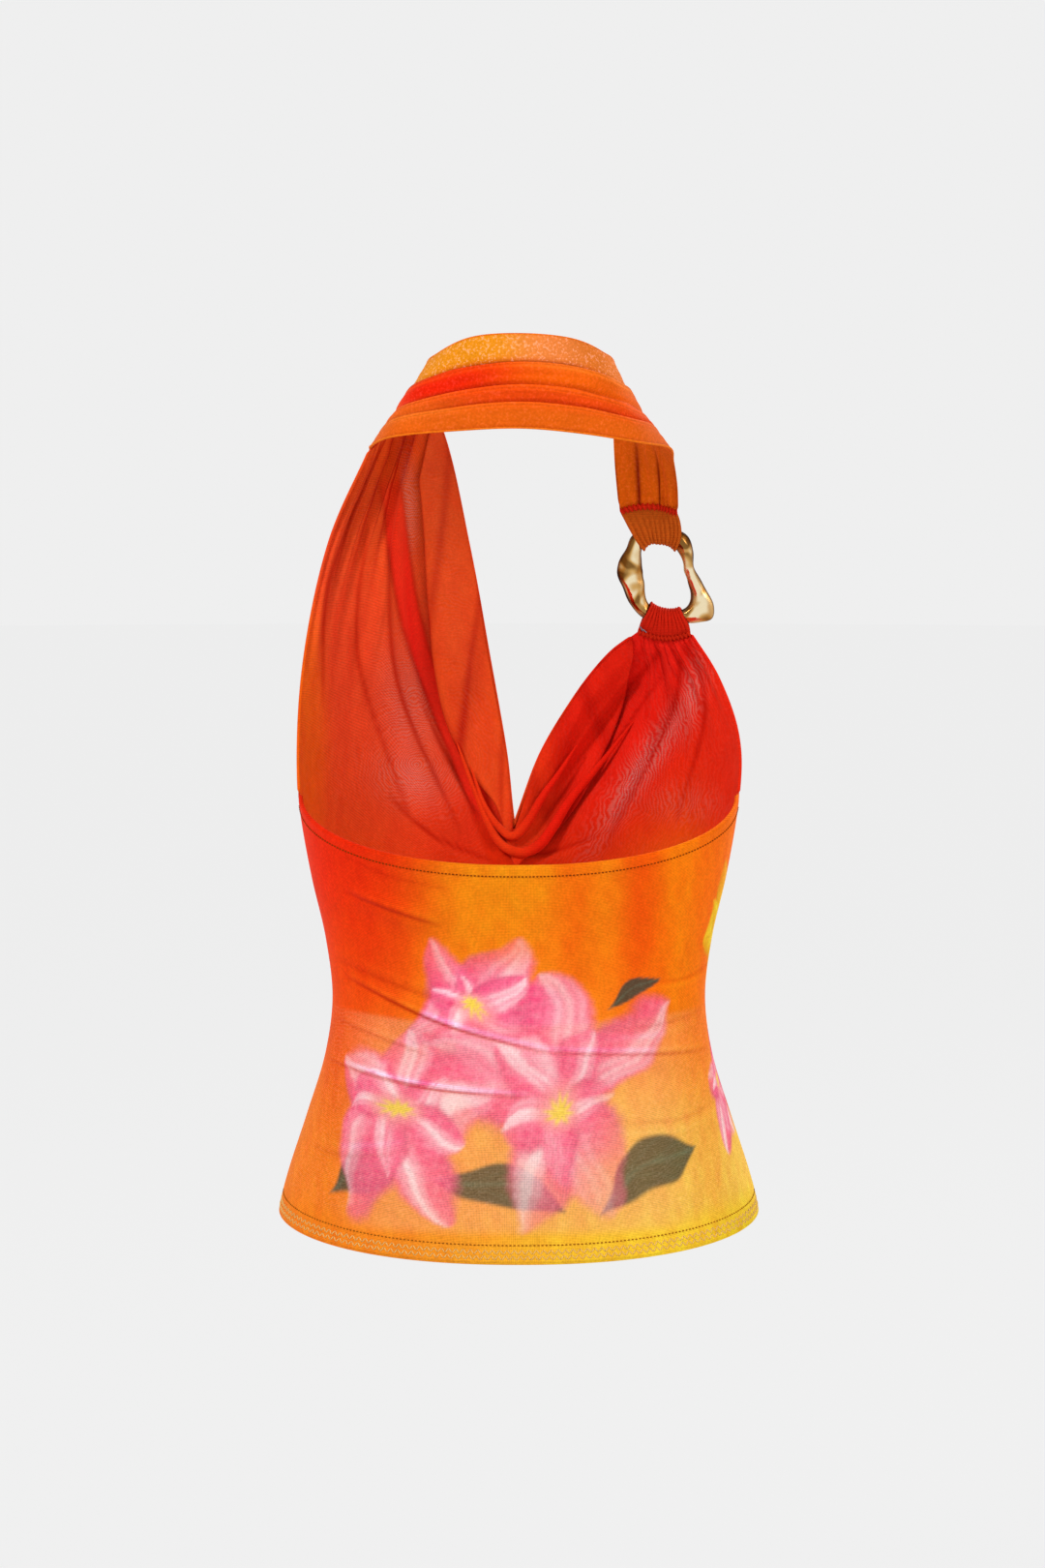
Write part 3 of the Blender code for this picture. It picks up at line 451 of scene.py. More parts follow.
ARMHOLE_LEFT = (
    EdgePoint("side seam", 0.00, -0.1415, 0.0520, -0.2610),
    EdgePoint("underarm", 0.17, -0.1437, 0.0740, -0.2240),
    EdgePoint("chest", 0.40, -0.1385, 0.0950, -0.1700),
    EdgePoint("upper chest", 0.63, -0.1270, 0.1000, -0.1140),
    EdgePoint("collar bone", 0.84, -0.1110, 0.0880, -0.0680),
    EdgePoint("shoulder", 1.00, -0.0955, 0.0660, -0.0405),
)
RING_GATHER_END = 0.28
SHOULDER_GATHER_START = 0.78
RING_SEAM_SAG = 0.0040
POINT_ALONG = NECKLINE_RIGHT[-1].along


def edge_curve(edge, along):
    """The smooth curve through an edge's places."""
    return smooth_rows([p.along for p in edge], [(p.x, p.y, p.z) for p in edge], along)


def straight(first, last, share):
    """The straight line from one place of a table to another."""
    return mix(np.array(first[2:]), np.array(last[2:]), share[..., None])


def neckline(u):
    """The front's top edge: the ring gather, the cowl and the shoulder gather."""
    u = np.asarray(u, float)
    ring_gather = straight(ARMHOLE_RIGHT[-1], NECKLINE_RIGHT[0], u / RING_GATHER_END)
    ring_gather[..., 2] -= RING_SEAM_SAG * arch(np.clip(u / RING_GATHER_END, 0, 1))
    share = (u - SHOULDER_GATHER_START) / (1 - SHOULDER_GATHER_START)
    shoulder_gather = straight(NECKLINE_LEFT[-1], ARMHOLE_LEFT[-1], share)
    right, left = edge_curve(NECKLINE_RIGHT, u), edge_curve(NECKLINE_LEFT, u)
    cowl = np.where((u < POINT_ALONG)[..., None], right, left)
    edge = np.where((u < RING_GATHER_END)[..., None], ring_gather, cowl)
    return np.where((u > SHOULDER_GATHER_START)[..., None], shoulder_gather, edge)


print("neckline point:", np.round(neckline(np.array([POINT_ALONG]))[0], 4))

# %% [markdown]
# Up to the chest line the front follows the hollow form. Above it the cloth hangs between the armholes
# and the neckline: its rows run from the chest line to the top edge, bent outwards over the chest.

# %% Front form
BODY_ROWS = (0.0, 0.17, 0.34, 0.51, 0.68, 0.84, 1.0)
UPPER_ROWS = (0.34, 0.68, 1.0)
CHEST_LINE_ROW = 0.62


def chest_line(angle):
    """The height at which the body's rows end, lower in the middle."""
    return UNDERARM_HEIGHT - CHEST_LINE_SAG * np.abs(np.sin(angle)) ** 1.5


def side_margin(depth):
    """The angle that leaves half a seam gap at the side, for a form this deep."""
    return math.asin((0.55 * SEAM_GAP / depth) ** (SECTION_POWER / 2))


def front_angle(u):
    margin = side_margin(UNDERARM.front - SIDE_DEPTH)
    return mix(margin, math.pi - margin, u)


def above_chest(u, share):
    """Cloth between the chest line and the top edge, bent over the form between its edges."""
    angle = front_angle(u)
    place = mix(figure(angle, chest_line(angle)), neckline(u), share)
    for edge, weight in ((ARMHOLE_RIGHT, 1 - u), (ARMHOLE_LEFT, u)):
        chord = mix(np.array(edge[0][2:]), np.array(edge[-1][2:]), share)
        bend = edge_curve(edge, share) - chord
        place = place + bend * (weight**3)[..., None]
    inside = arch(share, 0.6) * clear_of_ends(u, 0.02, 0.30)
    forward = figure_front(place[..., 0], place[..., 2])
    place[..., 1] = mix(place[..., 1], forward, inside)
    return place


FRONT_KNOTS = [share * CHEST_LINE_ROW for share in BODY_ROWS]
FRONT_KNOTS += [mix(CHEST_LINE_ROW, 1.0, share) for share in UPPER_ROWS]


def front_form(u, v):
    """The front without its folds, from hem to top edge."""
    angle = front_angle(u)
    low, high = hem_height(angle), chest_line(angle)
    rows = [figure(angle, mix(low, high, share)) for share in BODY_ROWS]
    rows += [above_chest(u, share) for share in UPPER_ROWS]
    place = smooth_rows(FRONT_KNOTS, rows, v)
    place[..., 1] = np.maximum(place[..., 1], SIDE_DEPTH + 0.5 * SEAM_GAP)
    return place


chest_middle = front_form(np.array([POINT_ALONG]), np.array([CHEST_LINE_ROW]))[0]
print("middle of the chest line:", np.round(chest_middle, 4))

# %% [markdown]
# Gathered cloth puckers where a wide edge is sewn to a narrow one. The puckers are round on top and
# pinched between, deepest a little way from the seam, and they join into fewer, wider folds further
# down. Here two sets of waves do that: one wide set that reaches far and one fine set near the seam.

# %% Front cloth
Gather = namedtuple("Gather", "name wide wide_lift fine fine_lift wide_from fine_from")
RING_GATHER = Gather("ring", 4, 0.0020, 11, 0.0009, 0.72, 0.86)
SHOULDER_GATHER = Gather("shoulder", 4, 0.0024, 9, 0.0015, 0.66, 0.80)
LAYER_NORMAL_ROW = 0.80


def pinched(turns):
    """A wave with round tops and sharp bottoms, between -1 and 1."""
    return 2 * np.abs(np.sin(math.pi * turns)) ** 0.7 - 1


def wandering(share):
    """Places across a gather, moved a little to and fro, so that no two puckers are alike."""
    return share + 0.012 * np.sin(9 * share) + 0.010 * np.sin(37 * share)


def gather_lift(gather, share, v):
    """How high one gather's wide and fine waves lift the cloth."""
    fade = (1 - ease(0.965, 0.998, v)) * clear_of_ends(share, 0.0, 0.08)
    wide = gather.wide_lift * np.cos(2 * math.pi * gather.wide * share**0.85)
    fine = gather.fine_lift * pinched(gather.fine * wandering(share))
    return fade * (wide * ease(gather.wide_from, 0.92, v) + fine * ease(gather.fine_from, 0.96, v))


def gathers(u, v):
    """Both gathers, each over its own part of the top edge."""
    at_ring = np.clip(u / RING_GATHER_END, 0, 1)
    at_shoulder = np.clip((u - SHOULDER_GATHER_START) / (1 - SHOULDER_GATHER_START), 0, 1)
    return gather_lift(RING_GATHER, at_ring, v) + gather_lift(SHOULDER_GATHER, at_shoulder, v)


def edge_fade(u, v):
    """Folds die out at the side seams, the hem and the top edge."""
    return clear_of_ends(u, 0.0, 0.06) * ease(0.0, 0.08, v) * (1 - ease(0.955, 0.995, v))


def front_cloth(u, v, outwards=0.0):
    """The front's middle surface, moved outwards by a distance if one is given."""
    place = front_form(u, v)
    normal = facing_outwards(front_form, u, v)
    lift = fold_lift(FRONT_FOLDS + FRONT_CREASES, place[..., 0], place[..., 2])
    lift = lift * edge_fade(u, v) + gathers(u, v)
    at_point = 1 - ease(0.02, 0.08, np.abs(u - POINT_ALONG))
    steady = facing_outwards(front_form, u, np.minimum(v, LAYER_NORMAL_ROW))
    layer = unit(mix(normal, steady, at_point[..., None]))
    return place + normal * lift[..., None] + layer * outwards


shoulder_lift = gathers(np.array([0.9]), np.array([0.93]))[0]
print("lift at the shoulder gather, mm:", round(1000 * float(shoulder_lift), 2))

# %% [markdown]
# The cowl facing is the neckline's own cloth, turned in and left hanging. Its free edge droops as a
# U behind the neckline, and it ripples where nothing holds it.

# %% Cowl facing
FacingPoint = namedtuple("FacingPoint", "name along drop")
FACING = (
    FacingPoint("ring seam", 0.29, 0.012),
    FacingPoint("below the ring", 0.33, 0.046),
    FacingPoint("right slope", 0.40, 0.066),
    FacingPoint("above the point", 0.46, 0.052),
    FacingPoint("point", 0.50, 0.026),
    FacingPoint("left of the point", 0.54, 0.032),
    FacingPoint("left slope", 0.62, 0.078),
    FacingPoint("collar bone", 0.70, 0.090),
    FacingPoint("shoulder seam", 0.77, 0.050),
)
FACING_STAND_OFF = (0.0009, 0.0030)
FACING_RIPPLE = 0.0007


def along_facing(share):
    return mix(FACING[0].along, FACING[-1].along, share)


def facing_cloth(u, v):
    """The facing behind the front. Its drop in metres becomes a share of the front's own rows."""
    drop = smooth_rows([p.along for p in FACING], [(p.drop,) for p in FACING], u)[..., 0]
    upper_fifth = np.linalg.norm(neckline(u) - front_form(u, np.full_like(u, 0.8)), axis=-1)
    depth = np.clip(drop * 0.2 / np.maximum(upper_fifth, 0.012), 0.02, 0.36)
    ripple = FACING_RIPPLE * np.sin(85 * u) * ease(0.5, 1.0, v)
    inwards = LAYER_STEP + mix(*FACING_STAND_OFF, v) + ripple
    at_point = 1 - ease(0.0, 0.05, np.abs(u - POINT_ALONG))
    top = 0.998 - 0.035 * at_point
    return front_cloth(u, top - depth * v, -inwards[..., None])


print("deepest drop of the facing, mm:", 1000 * max(p.drop for p in FACING))

# %% [markdown]
# The back is one stretched panel with a low scooped top edge. Its creases run down from the left side,
# where the waist pulls the mesh.

# %% Back cloth
def back_top(angle):
    return UNDERARM_HEIGHT - BACK_TOP_DIP * np.abs(round_power(np.sin(angle)))


def back_angle(u):
    margin = side_margin(SIDE_DEPTH - UNDERARM.back)
    return mix(math.pi + margin, 2 * math.pi - margin, u)


def back_form(u, v):
    angle = back_angle(u)
    return figure(angle, mix(hem_height(angle), back_top(angle), v))


def back_cloth(u, v, outwards=0.0):
    place = back_form(u, v)
    normal = facing_outwards(back_form, u, v)
    lift = fold_lift(BACK_FOLDS + BACK_CREASES, place[..., 0], place[..., 2])
    lift = lift * clear_of_ends(u, 0.0, 0.05) * clear_of_ends(v, 0.03, 0.12)
    return place + normal * (lift[..., None] + outwards)


print("middle of the back's top edge:", np.round(back_form(np.array([0.5]), np.array([1.0]))[0], 4))

# %% [markdown]
# The neck band is a long strip, folded into four tiers that overlap like roof tiles turned upside down:
# each lower tier stands over the one above. A real pleat goes under, back up and over again. The swing
# and the lift below give that Z path, so that the lips throw a true shadow.

# %% Neck band
BandRow = namedtuple("BandRow", "name neck_x neck_y neck_z outer_x outer_y outer_z bow")
BAND = (
    BandRow("shoulder seam", -0.0586, 0.0776, -0.0033, -0.0951, 0.0654, -0.0400, 0.0),
    BandRow("left crest", -0.0590, 0.0530, 0.0120, -0.0945, 0.0490, -0.0385, -0.0015),
    BandRow("behind left", -0.0505, 0.0270, 0.0205, -0.0800, 0.0180, -0.0320, 0.0005),
    BandRow("left nape", -0.0285, 0.0085, 0.0302, -0.0370, 0.0030, -0.0277, 0.0015),
    BandRow("nape", 0.0020, 0.0035, 0.0322, 0.0020, -0.0010, -0.0262, 0.002),
    BandRow("right nape", 0.0330, 0.0085, 0.0292, 0.0400, 0.0030, -0.0296, 0.0015),
    BandRow("behind right", 0.0525, 0.0270, 0.0212, 0.0775, 0.0200, -0.0357, -0.0010),
    BandRow("right crest", 0.0615, 0.0530, 0.0118, 0.0967, 0.0520, -0.0398, -0.0028),
    BandRow("below the crest", 0.0612, 0.0760, -0.0160, 0.0995, 0.0745, -0.0490, -0.0010),
    BandRow("strap", 0.0628, 0.0960, -0.0500, 0.1025, 0.0930, -0.0660, 0.001),
    BandRow("strap end", 0.0660, 0.1090, -0.0815, 0.1035, 0.1050, -0.0825, 0.0),
)
Pleat = namedtuple("Pleat", "name left nape right lift")
PLEATS = (
    Pleat("upper", 0.45, 0.33, 0.38, 0.0022),
    Pleat("middle", 0.70, 0.57, 0.68, 0.0024),
    Pleat("lower", 0.84, 0.75, 0.80, 0.0022),
)
print("pleats:", [pleat.name for pleat in PLEATS])

# %% [markdown]
# The form joins the band's neck edge to its outer edge. Lines that run along the band close up where it
# crosses the shoulders, and its last row is arched where it is gathered above the ring.

# %% Band form
PLEAT_STATIONS = (0.10, 0.42, 0.70)
STRAP_ARCH = 0.014
BAND_SIZES = np.array([row[1:] for row in BAND])
BAND_STEPS = np.linalg.norm(np.diff((BAND_SIZES[:, 0:3] + BAND_SIZES[:, 3:6]) / 2, axis=0), axis=1)
BAND_KNOTS = np.concatenate([[0], np.cumsum(BAND_STEPS)]) / BAND_STEPS.sum()


def band_edges(s):
    """The band's neck edge, its outer edge and its bow, at a share of its length."""
    sizes = smooth_rows(BAND_KNOTS, BAND_SIZES, s)
    return sizes[..., 0:3], sizes[..., 3:6], sizes[..., 6]


def pleat_place(s, w):
    """Where a line that runs along the band lies at a station: the pleats close up at the crests."""
    at_nape = [0.0] + [pleat.nape for pleat in PLEATS] + [1.0]
    here = [np.zeros_like(w)]
    for pleat in PLEATS:
        rows = [(pleat.left,), (pleat.nape,), (pleat.right,)]
        here.append(smooth_rows(PLEAT_STATIONS, rows, s)[..., 0])
    here.append(np.ones_like(w))
    placed = np.zeros_like(w)
    for k in range(len(PLEATS) + 1):
        share = np.clip((w - at_nape[k]) / (at_nape[k + 1] - at_nape[k]), 0, 1)
        placed += (here[k + 1] - here[k]) * share
    return placed


def band_form(s, w):
    """The band without its pleats, at a share of its length and of its width."""
    s = s - STRAP_ARCH * arch(w) * ease(0.85, 1.0, s)
    across = pleat_place(s, w)
    neck, outer, bow = band_edges(s)
    place = mix(neck, outer, across[..., None])
    ahead, behind = band_edges(np.clip(s + 1e-3, 0, 1)), band_edges(np.clip(s - 1e-3, 0, 1))
    heading = mix(ahead[0] - behind[0], ahead[1] - behind[1], across[..., None])
    normal = unit(np.cross(outer - neck, heading))
    return place + normal * (bow * arch(across))[..., None]


print("length of the band, mm:", round(1000 * BAND_STEPS.sum()))

# %% [markdown]
# A pleat is a Z fold: across it the cloth runs on, back under itself and on again. Swinging each place to
# and fro across the band, and lifting it a little, lays the fold without any cut. The strap has soft
# tucks in place of pleats.

# %% Band cloth
LIP_HALF = 0.024
LIP_SWING = 0.030
STRAP_TUCKS = 3
STRAP_TUCK_LIFT = 0.0018


def pleat_path(w):
    """How far each Z fold swings a place across the band, and how high it lifts it."""
    swing, lift = np.zeros_like(w), np.zeros_like(w)
    ends = [pleat.nape for pleat in PLEATS[1:]] + [1.04]
    for pleat, end in zip(PLEATS, ends):
        turn = np.clip((w - pleat.nape) / (2 * LIP_HALF) + 0.5, 0, 1)
        swing += LIP_SWING * np.sin(2 * math.pi * turn)
        sink = 1 - ease(pleat.nape + LIP_HALF, end - LIP_HALF, w)
        lift += pleat.lift * ease(0.28, 0.72, turn) * sink
    return swing, lift


def strap_folds(s, w):
    """Soft tucks that run up the strap from its gathered end, pinched between."""
    wide = STRAP_TUCK_LIFT * pinched(STRAP_TUCKS * w + 0.5)
    fine = 0.0007 * pinched(3 * STRAP_TUCKS * w + 0.25) * ease(0.93, 0.98, s)
    return (wide + fine) * ease(0.80, 0.94, s) * arch(w, 0.5) * (1 - ease(0.975, 1.0, s))


def band_cloth(s, w, outwards=0.0):
    """The folded band, with faint waves that keep its tiers from looking pressed."""
    fade = ease(0.0, 0.16, s) * (1 - ease(0.66, 0.80, s))
    swing, lift = pleat_path(w)
    place = band_form(s, np.clip(w + swing * fade, 0, 1))
    normal = -facing_outwards(band_form, s, w)
    soft = 0.00035 * np.sin(23 * w + 5 * np.sin(11 * s)) + 0.00025 * np.sin(61 * w + 9 * s)
    soft = soft * ease(0.0, 0.1, s) * arch(np.clip(w, 0, 1))
    return place + normal * (lift * fade + strap_folds(s, w) + soft + outwards)[..., None]


def band_rows():
    """Places across the band, close together where a pleat turns."""
    places, last = [], 0.0
    for pleat in PLEATS:
        places.append(np.linspace(last, pleat.nape - LIP_HALF, 11)[:-1])
        places.append(np.linspace(pleat.nape - LIP_HALF, pleat.nape + LIP_HALF, 15)[:-1])
        last = pleat.nape + LIP_HALF
    return np.concatenate(places + [np.linspace(last, 1.0, 11)])


print("rows across the band:", len(band_rows()))

# %% [markdown]
# The ring is cast and irregular, like metal poured and left to set: a bar of changing width, with
# ridges, dents and one thick corner. A grid wrapped round the bar twice over makes it, and slow waves
# that run round the bar give the molten relief.

# %% Ring
RING_CENTRE = np.array((0.0955, 0.1235, -0.1265))
RING_TILT = math.radians(12.0)
RingPoint = namedtuple("RingPoint", "angle opening outline half_depth")
RING = (
    RingPoint(0, 0.0152, 0.0240, 0.0028),
    RingPoint(23, 0.0142, 0.0213, 0.0030),
    RingPoint(45, 0.0168, 0.0268, 0.0036),
    RingPoint(63, 0.0203, 0.0328, 0.0040),
    RingPoint(80, 0.0240, 0.0340, 0.0036),
    RingPoint(98, 0.0258, 0.0342, 0.0034),
    RingPoint(114, 0.0272, 0.0356, 0.0034),
    RingPoint(126, 0.0246, 0.0360, 0.0036),
    RingPoint(140, 0.0186, 0.0324, 0.0038),
    RingPoint(160, 0.0150, 0.0318, 0.0042),
    RingPoint(176, 0.0138, 0.0308, 0.0042),
    RingPoint(195, 0.0132, 0.0282, 0.0040),
    RingPoint(218, 0.0156, 0.0280, 0.0036),
    RingPoint(245, 0.0200, 0.0300, 0.0034),
    RingPoint(270, 0.0222, 0.0306, 0.0034),
    RingPoint(294, 0.0240, 0.0330, 0.0036),
    RingPoint(309, 0.0240, 0.0380, 0.0038),
    RingPoint(320, 0.0226, 0.0418, 0.0038),
    RingPoint(330, 0.0204, 0.0382, 0.0036),
    RingPoint(343, 0.0172, 0.0300, 0.0030),
)


def ring_sizes(angle):
    """Opening, outline and half depth at angles in degrees, read round the closed ring."""
    knots = [p.angle for p in RING]
    rows = [p[1:] for p in RING]
    knots = [knots[-2] - 360, knots[-1] - 360] + knots + [knots[0] + 360, knots[1] + 360]
    rows = rows[-2:] + rows + rows[:2]
    return smooth_rows(knots, rows, np.mod(angle, 360)).T


RING_ACROSS = np.array((1.0, 0.0, 0.0))
RING_UP = np.array((0.0, -math.sin(RING_TILT), math.cos(RING_TILT)))


def ring_bar(angle):
    """The bar's middle, its direction towards the opening, its outward axis and its half sizes."""
    opening, outline, half_depth = ring_sizes(angle)
    turn = np.radians(angle)[..., None]
    radial = RING_ACROSS * np.cos(turn) + RING_UP * np.sin(turn)
    middle = RING_CENTRE + radial * ((opening + outline) / 2)[..., None]
    return middle, -radial, np.cross(RING_UP, RING_ACROSS), (outline - opening) / 2, half_depth


def cast_relief(angle, around):
    """Facets and slow dents of the casting, as a share of the bar's half sizes."""
    turn = np.radians(angle)
    facets = 0.07 * np.cos(4 * around + 1.6 * np.sin(2 * turn + 0.4))
    dents = 0.06 * np.sin(4 * turn + around + 1.3) + 0.035 * np.sin(7 * turn - 2 * around)
    return facets + dents


def ring_surface(turn, round_bar):
    """The bar's skin, a little deeper than wide, with its relief."""
    angle = turn * 360.0
    middle, inwards, outwards, half_width, half_depth = ring_bar(angle)
    around = round_bar * 2 * math.pi
    swell = 0.96 + cast_relief(angle, around)
    side, depth = np.cos(around) * np.minimum(swell, 1.02), np.sin(around) * (swell + 0.12)
    return middle + inwards * (half_width * side)[..., None] + outwards * (half_depth * depth)[..., None]


print("ring at its widest, mm:", 1000 * max(p.outline for p in RING))

# %% [markdown]
# Two loops of cloth hold the ring. Each goes round the bar and closes on itself at its seam. A loop is
# made as a closed surface: along its outside, then back along its inside. Its gathers are fine pleats
# that spread over the bar from the narrow seam.

# %% Loops
UPPER_LOOP_ANGLES = (125.0, 69.0)
LOWER_LOOP_ANGLES = (243.0, 299.0)
LOOP_CLEARANCE = 0.0010
LOOP_JOIN = 0.82
LOOP_FLAT = 0.45
LOOP_KNEE = 1.4
LOOP_COLUMNS = 72
LOOP_AROUND = 2 * LOOP_COLUMNS + 2


def loop_surface(angles, seam, pleats, pleat_lift):
    """A loop's closed skin: flat and tapered from its seam to the bar, then bent round the bar."""
    def place(u, t):
        column = np.mod(np.rint(u * LOOP_AROUND), LOOP_AROUND)
        outside = column <= LOOP_COLUMNS
        along = np.where(outside, column, LOOP_AROUND - 1 - column) / LOOP_COLUMNS
        middle, inwards, outwards, half_width, half_depth = ring_bar(mix(angles[0], angles[1], along))
        top = seam(along)
        half = 1 - np.abs(2 * np.mod(t, 1.0) - 1)
        side = np.where(np.mod(t, 1.0) < 0.5, 1.0, -1.0)
        to_bar = 1 - np.clip(half / LOOP_FLAT, 0, 1)
        turn = np.clip((half - LOOP_FLAT) / (1 - LOOP_FLAT), 0, 1) * math.pi / 2
        wall = np.where(outside, CLOTH, 0.0)
        reach = half_width + LOOP_CLEARANCE + wall
        depth = half_depth + LOOP_CLEARANCE + wall
        reach_up = np.where(outside, to_bar, to_bar * LOOP_JOIN)
        share = reach_up[..., None]
        knee = middle - inwards * (LOOP_KNEE * half_width)[..., None]
        path = (1 - share) ** 2 * middle + 2 * share * (1 - share) * knee + share**2 * top
        open_share = 1 - np.clip(reach_up / LOOP_JOIN, 0, 1) ** 1.6
        taper = (half_depth + LOOP_CLEARANCE) * open_share + wall
        taper = np.where(half < 1e-6, 0.0, taper)
        wander = along + 0.010 * np.sin(13 * along + 3 * half) + 0.006 * np.sin(41 * along)
        gather = pleat_lift * (pinched(pleats * wander) + 0.2)
        gather = np.where(outside, gather * np.sin(math.pi * np.clip(half, 0, 1) * 0.85 + 0.25), 0.0)
        flat = path + outwards * (side * (taper + gather))[..., None]
        bend = (
            middle
            + inwards * ((reach + gather) * np.sin(turn))[..., None]
            + outwards * (side * (depth + gather) * np.cos(turn))[..., None]
        )
        return np.where((half < LOOP_FLAT)[..., None], flat, bend)

    return place


def upper_seam(u):
    """Just past the strap's end row, from its neck edge to its outer edge."""
    end, before = np.full_like(u, 1.0), np.full_like(u, 0.985)
    last = band_form(end, u)
    return last + unit(last - band_form(before, u)) * SEAM_GAP


def lower_seam(u):
    """Just past the front's ring gather, from its neckline end to its armhole end."""
    along = RING_GATHER_END * (1 - u)
    last = neckline(along)
    return last + unit(last - front_form(along, np.full_like(u, 0.985))) * SEAM_GAP


print("loop columns:", LOOP_AROUND)

# %% [markdown]
# The print is an ombre of red, orange and yellow with soft blossoms over it. The dye of each point is
# worked out once and kept on the mesh as a colour attribute, because a print is part of its cloth: it
# bends and stretches with it. The painted shade and highlights of creases, pleats and gathers are kept in
# the same attribute. Pools of dye blend into each other by distance, and each blossom is a ring of petals
# round a yellow heart. The motifs are plain garden shapes laid out for this lesson, and these tables say
# where each one lies.

# %% Tables of the print
Pool = namedtuple("Pool", "name x z wide high red green blue")
BACK_DYES = (
    Pool("red shoulder", -0.125, -0.290, 0.036, 0.070, 0.78, 0.016, 0.001),
    Pool("red inner", -0.080, -0.325, 0.020, 0.050, 0.74, 0.008, 0.001),
    Pool("gold upper middle", -0.022, -0.325, 0.034, 0.030, 0.84, 0.240, 0.004),
    Pool("orange middle", -0.010, -0.375, 0.040, 0.024, 0.90, 0.200, 0.006),
    Pool("red streak", 0.036, -0.345, 0.009, 0.042, 0.86, 0.105, 0.002),
    Pool("gold right of the middle", 0.055, -0.325, 0.010, 0.040, 0.90, 0.220, 0.004),
    Pool("red right", 0.077, -0.345, 0.012, 0.060, 0.82, 0.050, 0.001),
    Pool("orange right", 0.104, -0.345, 0.014, 0.060, 0.93, 0.210, 0.002),
    Pool("orange right edge", 0.140, -0.350, 0.016, 0.080, 0.92, 0.150, 0.002),
    Pool("red left waist", -0.125, -0.405, 0.022, 0.045, 0.84, 0.070, 0.001),
    Pool("orange left hip", -0.125, -0.500, 0.040, 0.040, 0.88, 0.190, 0.008),
    Pool("orange waist", 0.000, -0.420, 0.060, 0.024, 0.88, 0.230, 0.012),
    Pool("orange right waist", 0.105, -0.405, 0.030, 0.030, 0.96, 0.190, 0.002),
    Pool("peach hip", -0.020, -0.500, 0.060, 0.030, 0.86, 0.270, 0.030),
    Pool("yellow hip", 0.085, -0.485, 0.056, 0.036, 0.92, 0.540, 0.070),
    Pool("gold hem", 0.090, -0.538, 0.080, 0.011, 0.88, 0.580, 0.010),
    Pool("orange hem", -0.090, -0.535, 0.060, 0.010, 0.86, 0.210, 0.010),
)
FRONT_DYES = (
    Pool("orange armhole", -0.204, -0.190, 0.020, 0.080, 0.78, 0.105, 0.004),
    Pool("left chest", -0.100, -0.200, 0.048, 0.080, 0.76, 0.058, 0.014),
    Pool("left shoulder", -0.080, -0.060, 0.030, 0.050, 0.80, 0.080, 0.008),
    Pool("right chest", 0.080, -0.200, 0.050, 0.060, 0.78, 0.009, 0.004),
    Pool("below the ring", 0.090, -0.176, 0.026, 0.014, 0.92, 0.012, 0.007),
    Pool("right side", 0.160, -0.250, 0.040, 0.050, 0.74, 0.018, 0.004),
    Pool("under the point", 0.000, -0.320, 0.060, 0.030, 0.64, 0.010, 0.002),
    Pool("orange waist", 0.020, -0.400, 0.080, 0.040, 0.86, 0.170, 0.004),
    Pool("orange left", -0.120, -0.420, 0.040, 0.070, 0.85, 0.110, 0.003),
    Pool("yellow right", 0.130, -0.440, 0.035, 0.070, 0.86, 0.400, 0.006),
    Pool("peach hip", -0.020, -0.500, 0.070, 0.040, 0.85, 0.280, 0.030),
    Pool("gold hem", 0.060, -0.540, 0.120, 0.012, 0.84, 0.420, 0.008),
)
Blossom = namedtuple("Blossom", "name x z radius petals turn tint")
BACK_BLOSSOMS = (
    Blossom("behind", -0.026, -0.394, 0.056, 5, 1.10, "pink"),
    Blossom("large", 0.030, -0.448, 0.082, 5, 0.42, "pink"),
    Blossom("left", -0.074, -0.458, 0.066, 5, 0.15, "pink"),
    Blossom("side", 0.180, -0.446, 0.044, 5, 0.50, "pink"),
    Blossom("yellow side", 0.182, -0.352, 0.052, 5, 0.30, "yellow"),
)
FRONT_BLOSSOMS = (
    Blossom("large", -0.030, -0.440, 0.064, 5, 0.15, "pink"),
    Blossom("second", 0.062, -0.478, 0.048, 6, 0.70, "pink"),
    Blossom("high", 0.040, -0.385, 0.032, 5, 0.30, "yellow"),
)
Leaf = namedtuple("Leaf", "name x z length width turn")
BACK_LEAVES = (
    Leaf("under the left blossom", -0.106, -0.503, 0.086, 0.014, 0.30),
    Leaf("between", -0.018, -0.507, 0.100, 0.015, -0.26),
    Leaf("above", 0.070, -0.386, 0.046, 0.006, 0.45),
    Leaf("right", 0.084, -0.500, 0.092, 0.015, 0.50),
)
FRONT_LEAVES = (
    Leaf("low left", -0.085, -0.502, 0.076, 0.014, -0.40),
    Leaf("low right", 0.016, -0.505, 0.078, 0.015, 0.50),
    Leaf("high", -0.060, -0.392, 0.044, 0.007, 0.30),
)
print("pools of dye:", len(BACK_DYES + FRONT_DYES))
print("blossoms:", len(BACK_BLOSSOMS + FRONT_BLOSSOMS), "leaves:", len(BACK_LEAVES + FRONT_LEAVES))

# %% [markdown]
# Wet dye flows, runs and dries unevenly. Pools take over from each other by distance, and a smooth random
# field, made of sines of many headings, moves the places at which the motifs are read and mottles the
# cloth.

# %% Dye tools
MOTIF_BLEED = (0.0024, 0.0050)
LEAF_BLEED = (0.0011, 0.0030)
# Painted shade and painted highlight: the colours that creases, gathers and pleat lips are tinted towards.
CREASE_SHADOW = np.array((0.60, 0.16, 0.14))
CREASE_LIGHT = np.array((0.12, 0.45, 0.8))


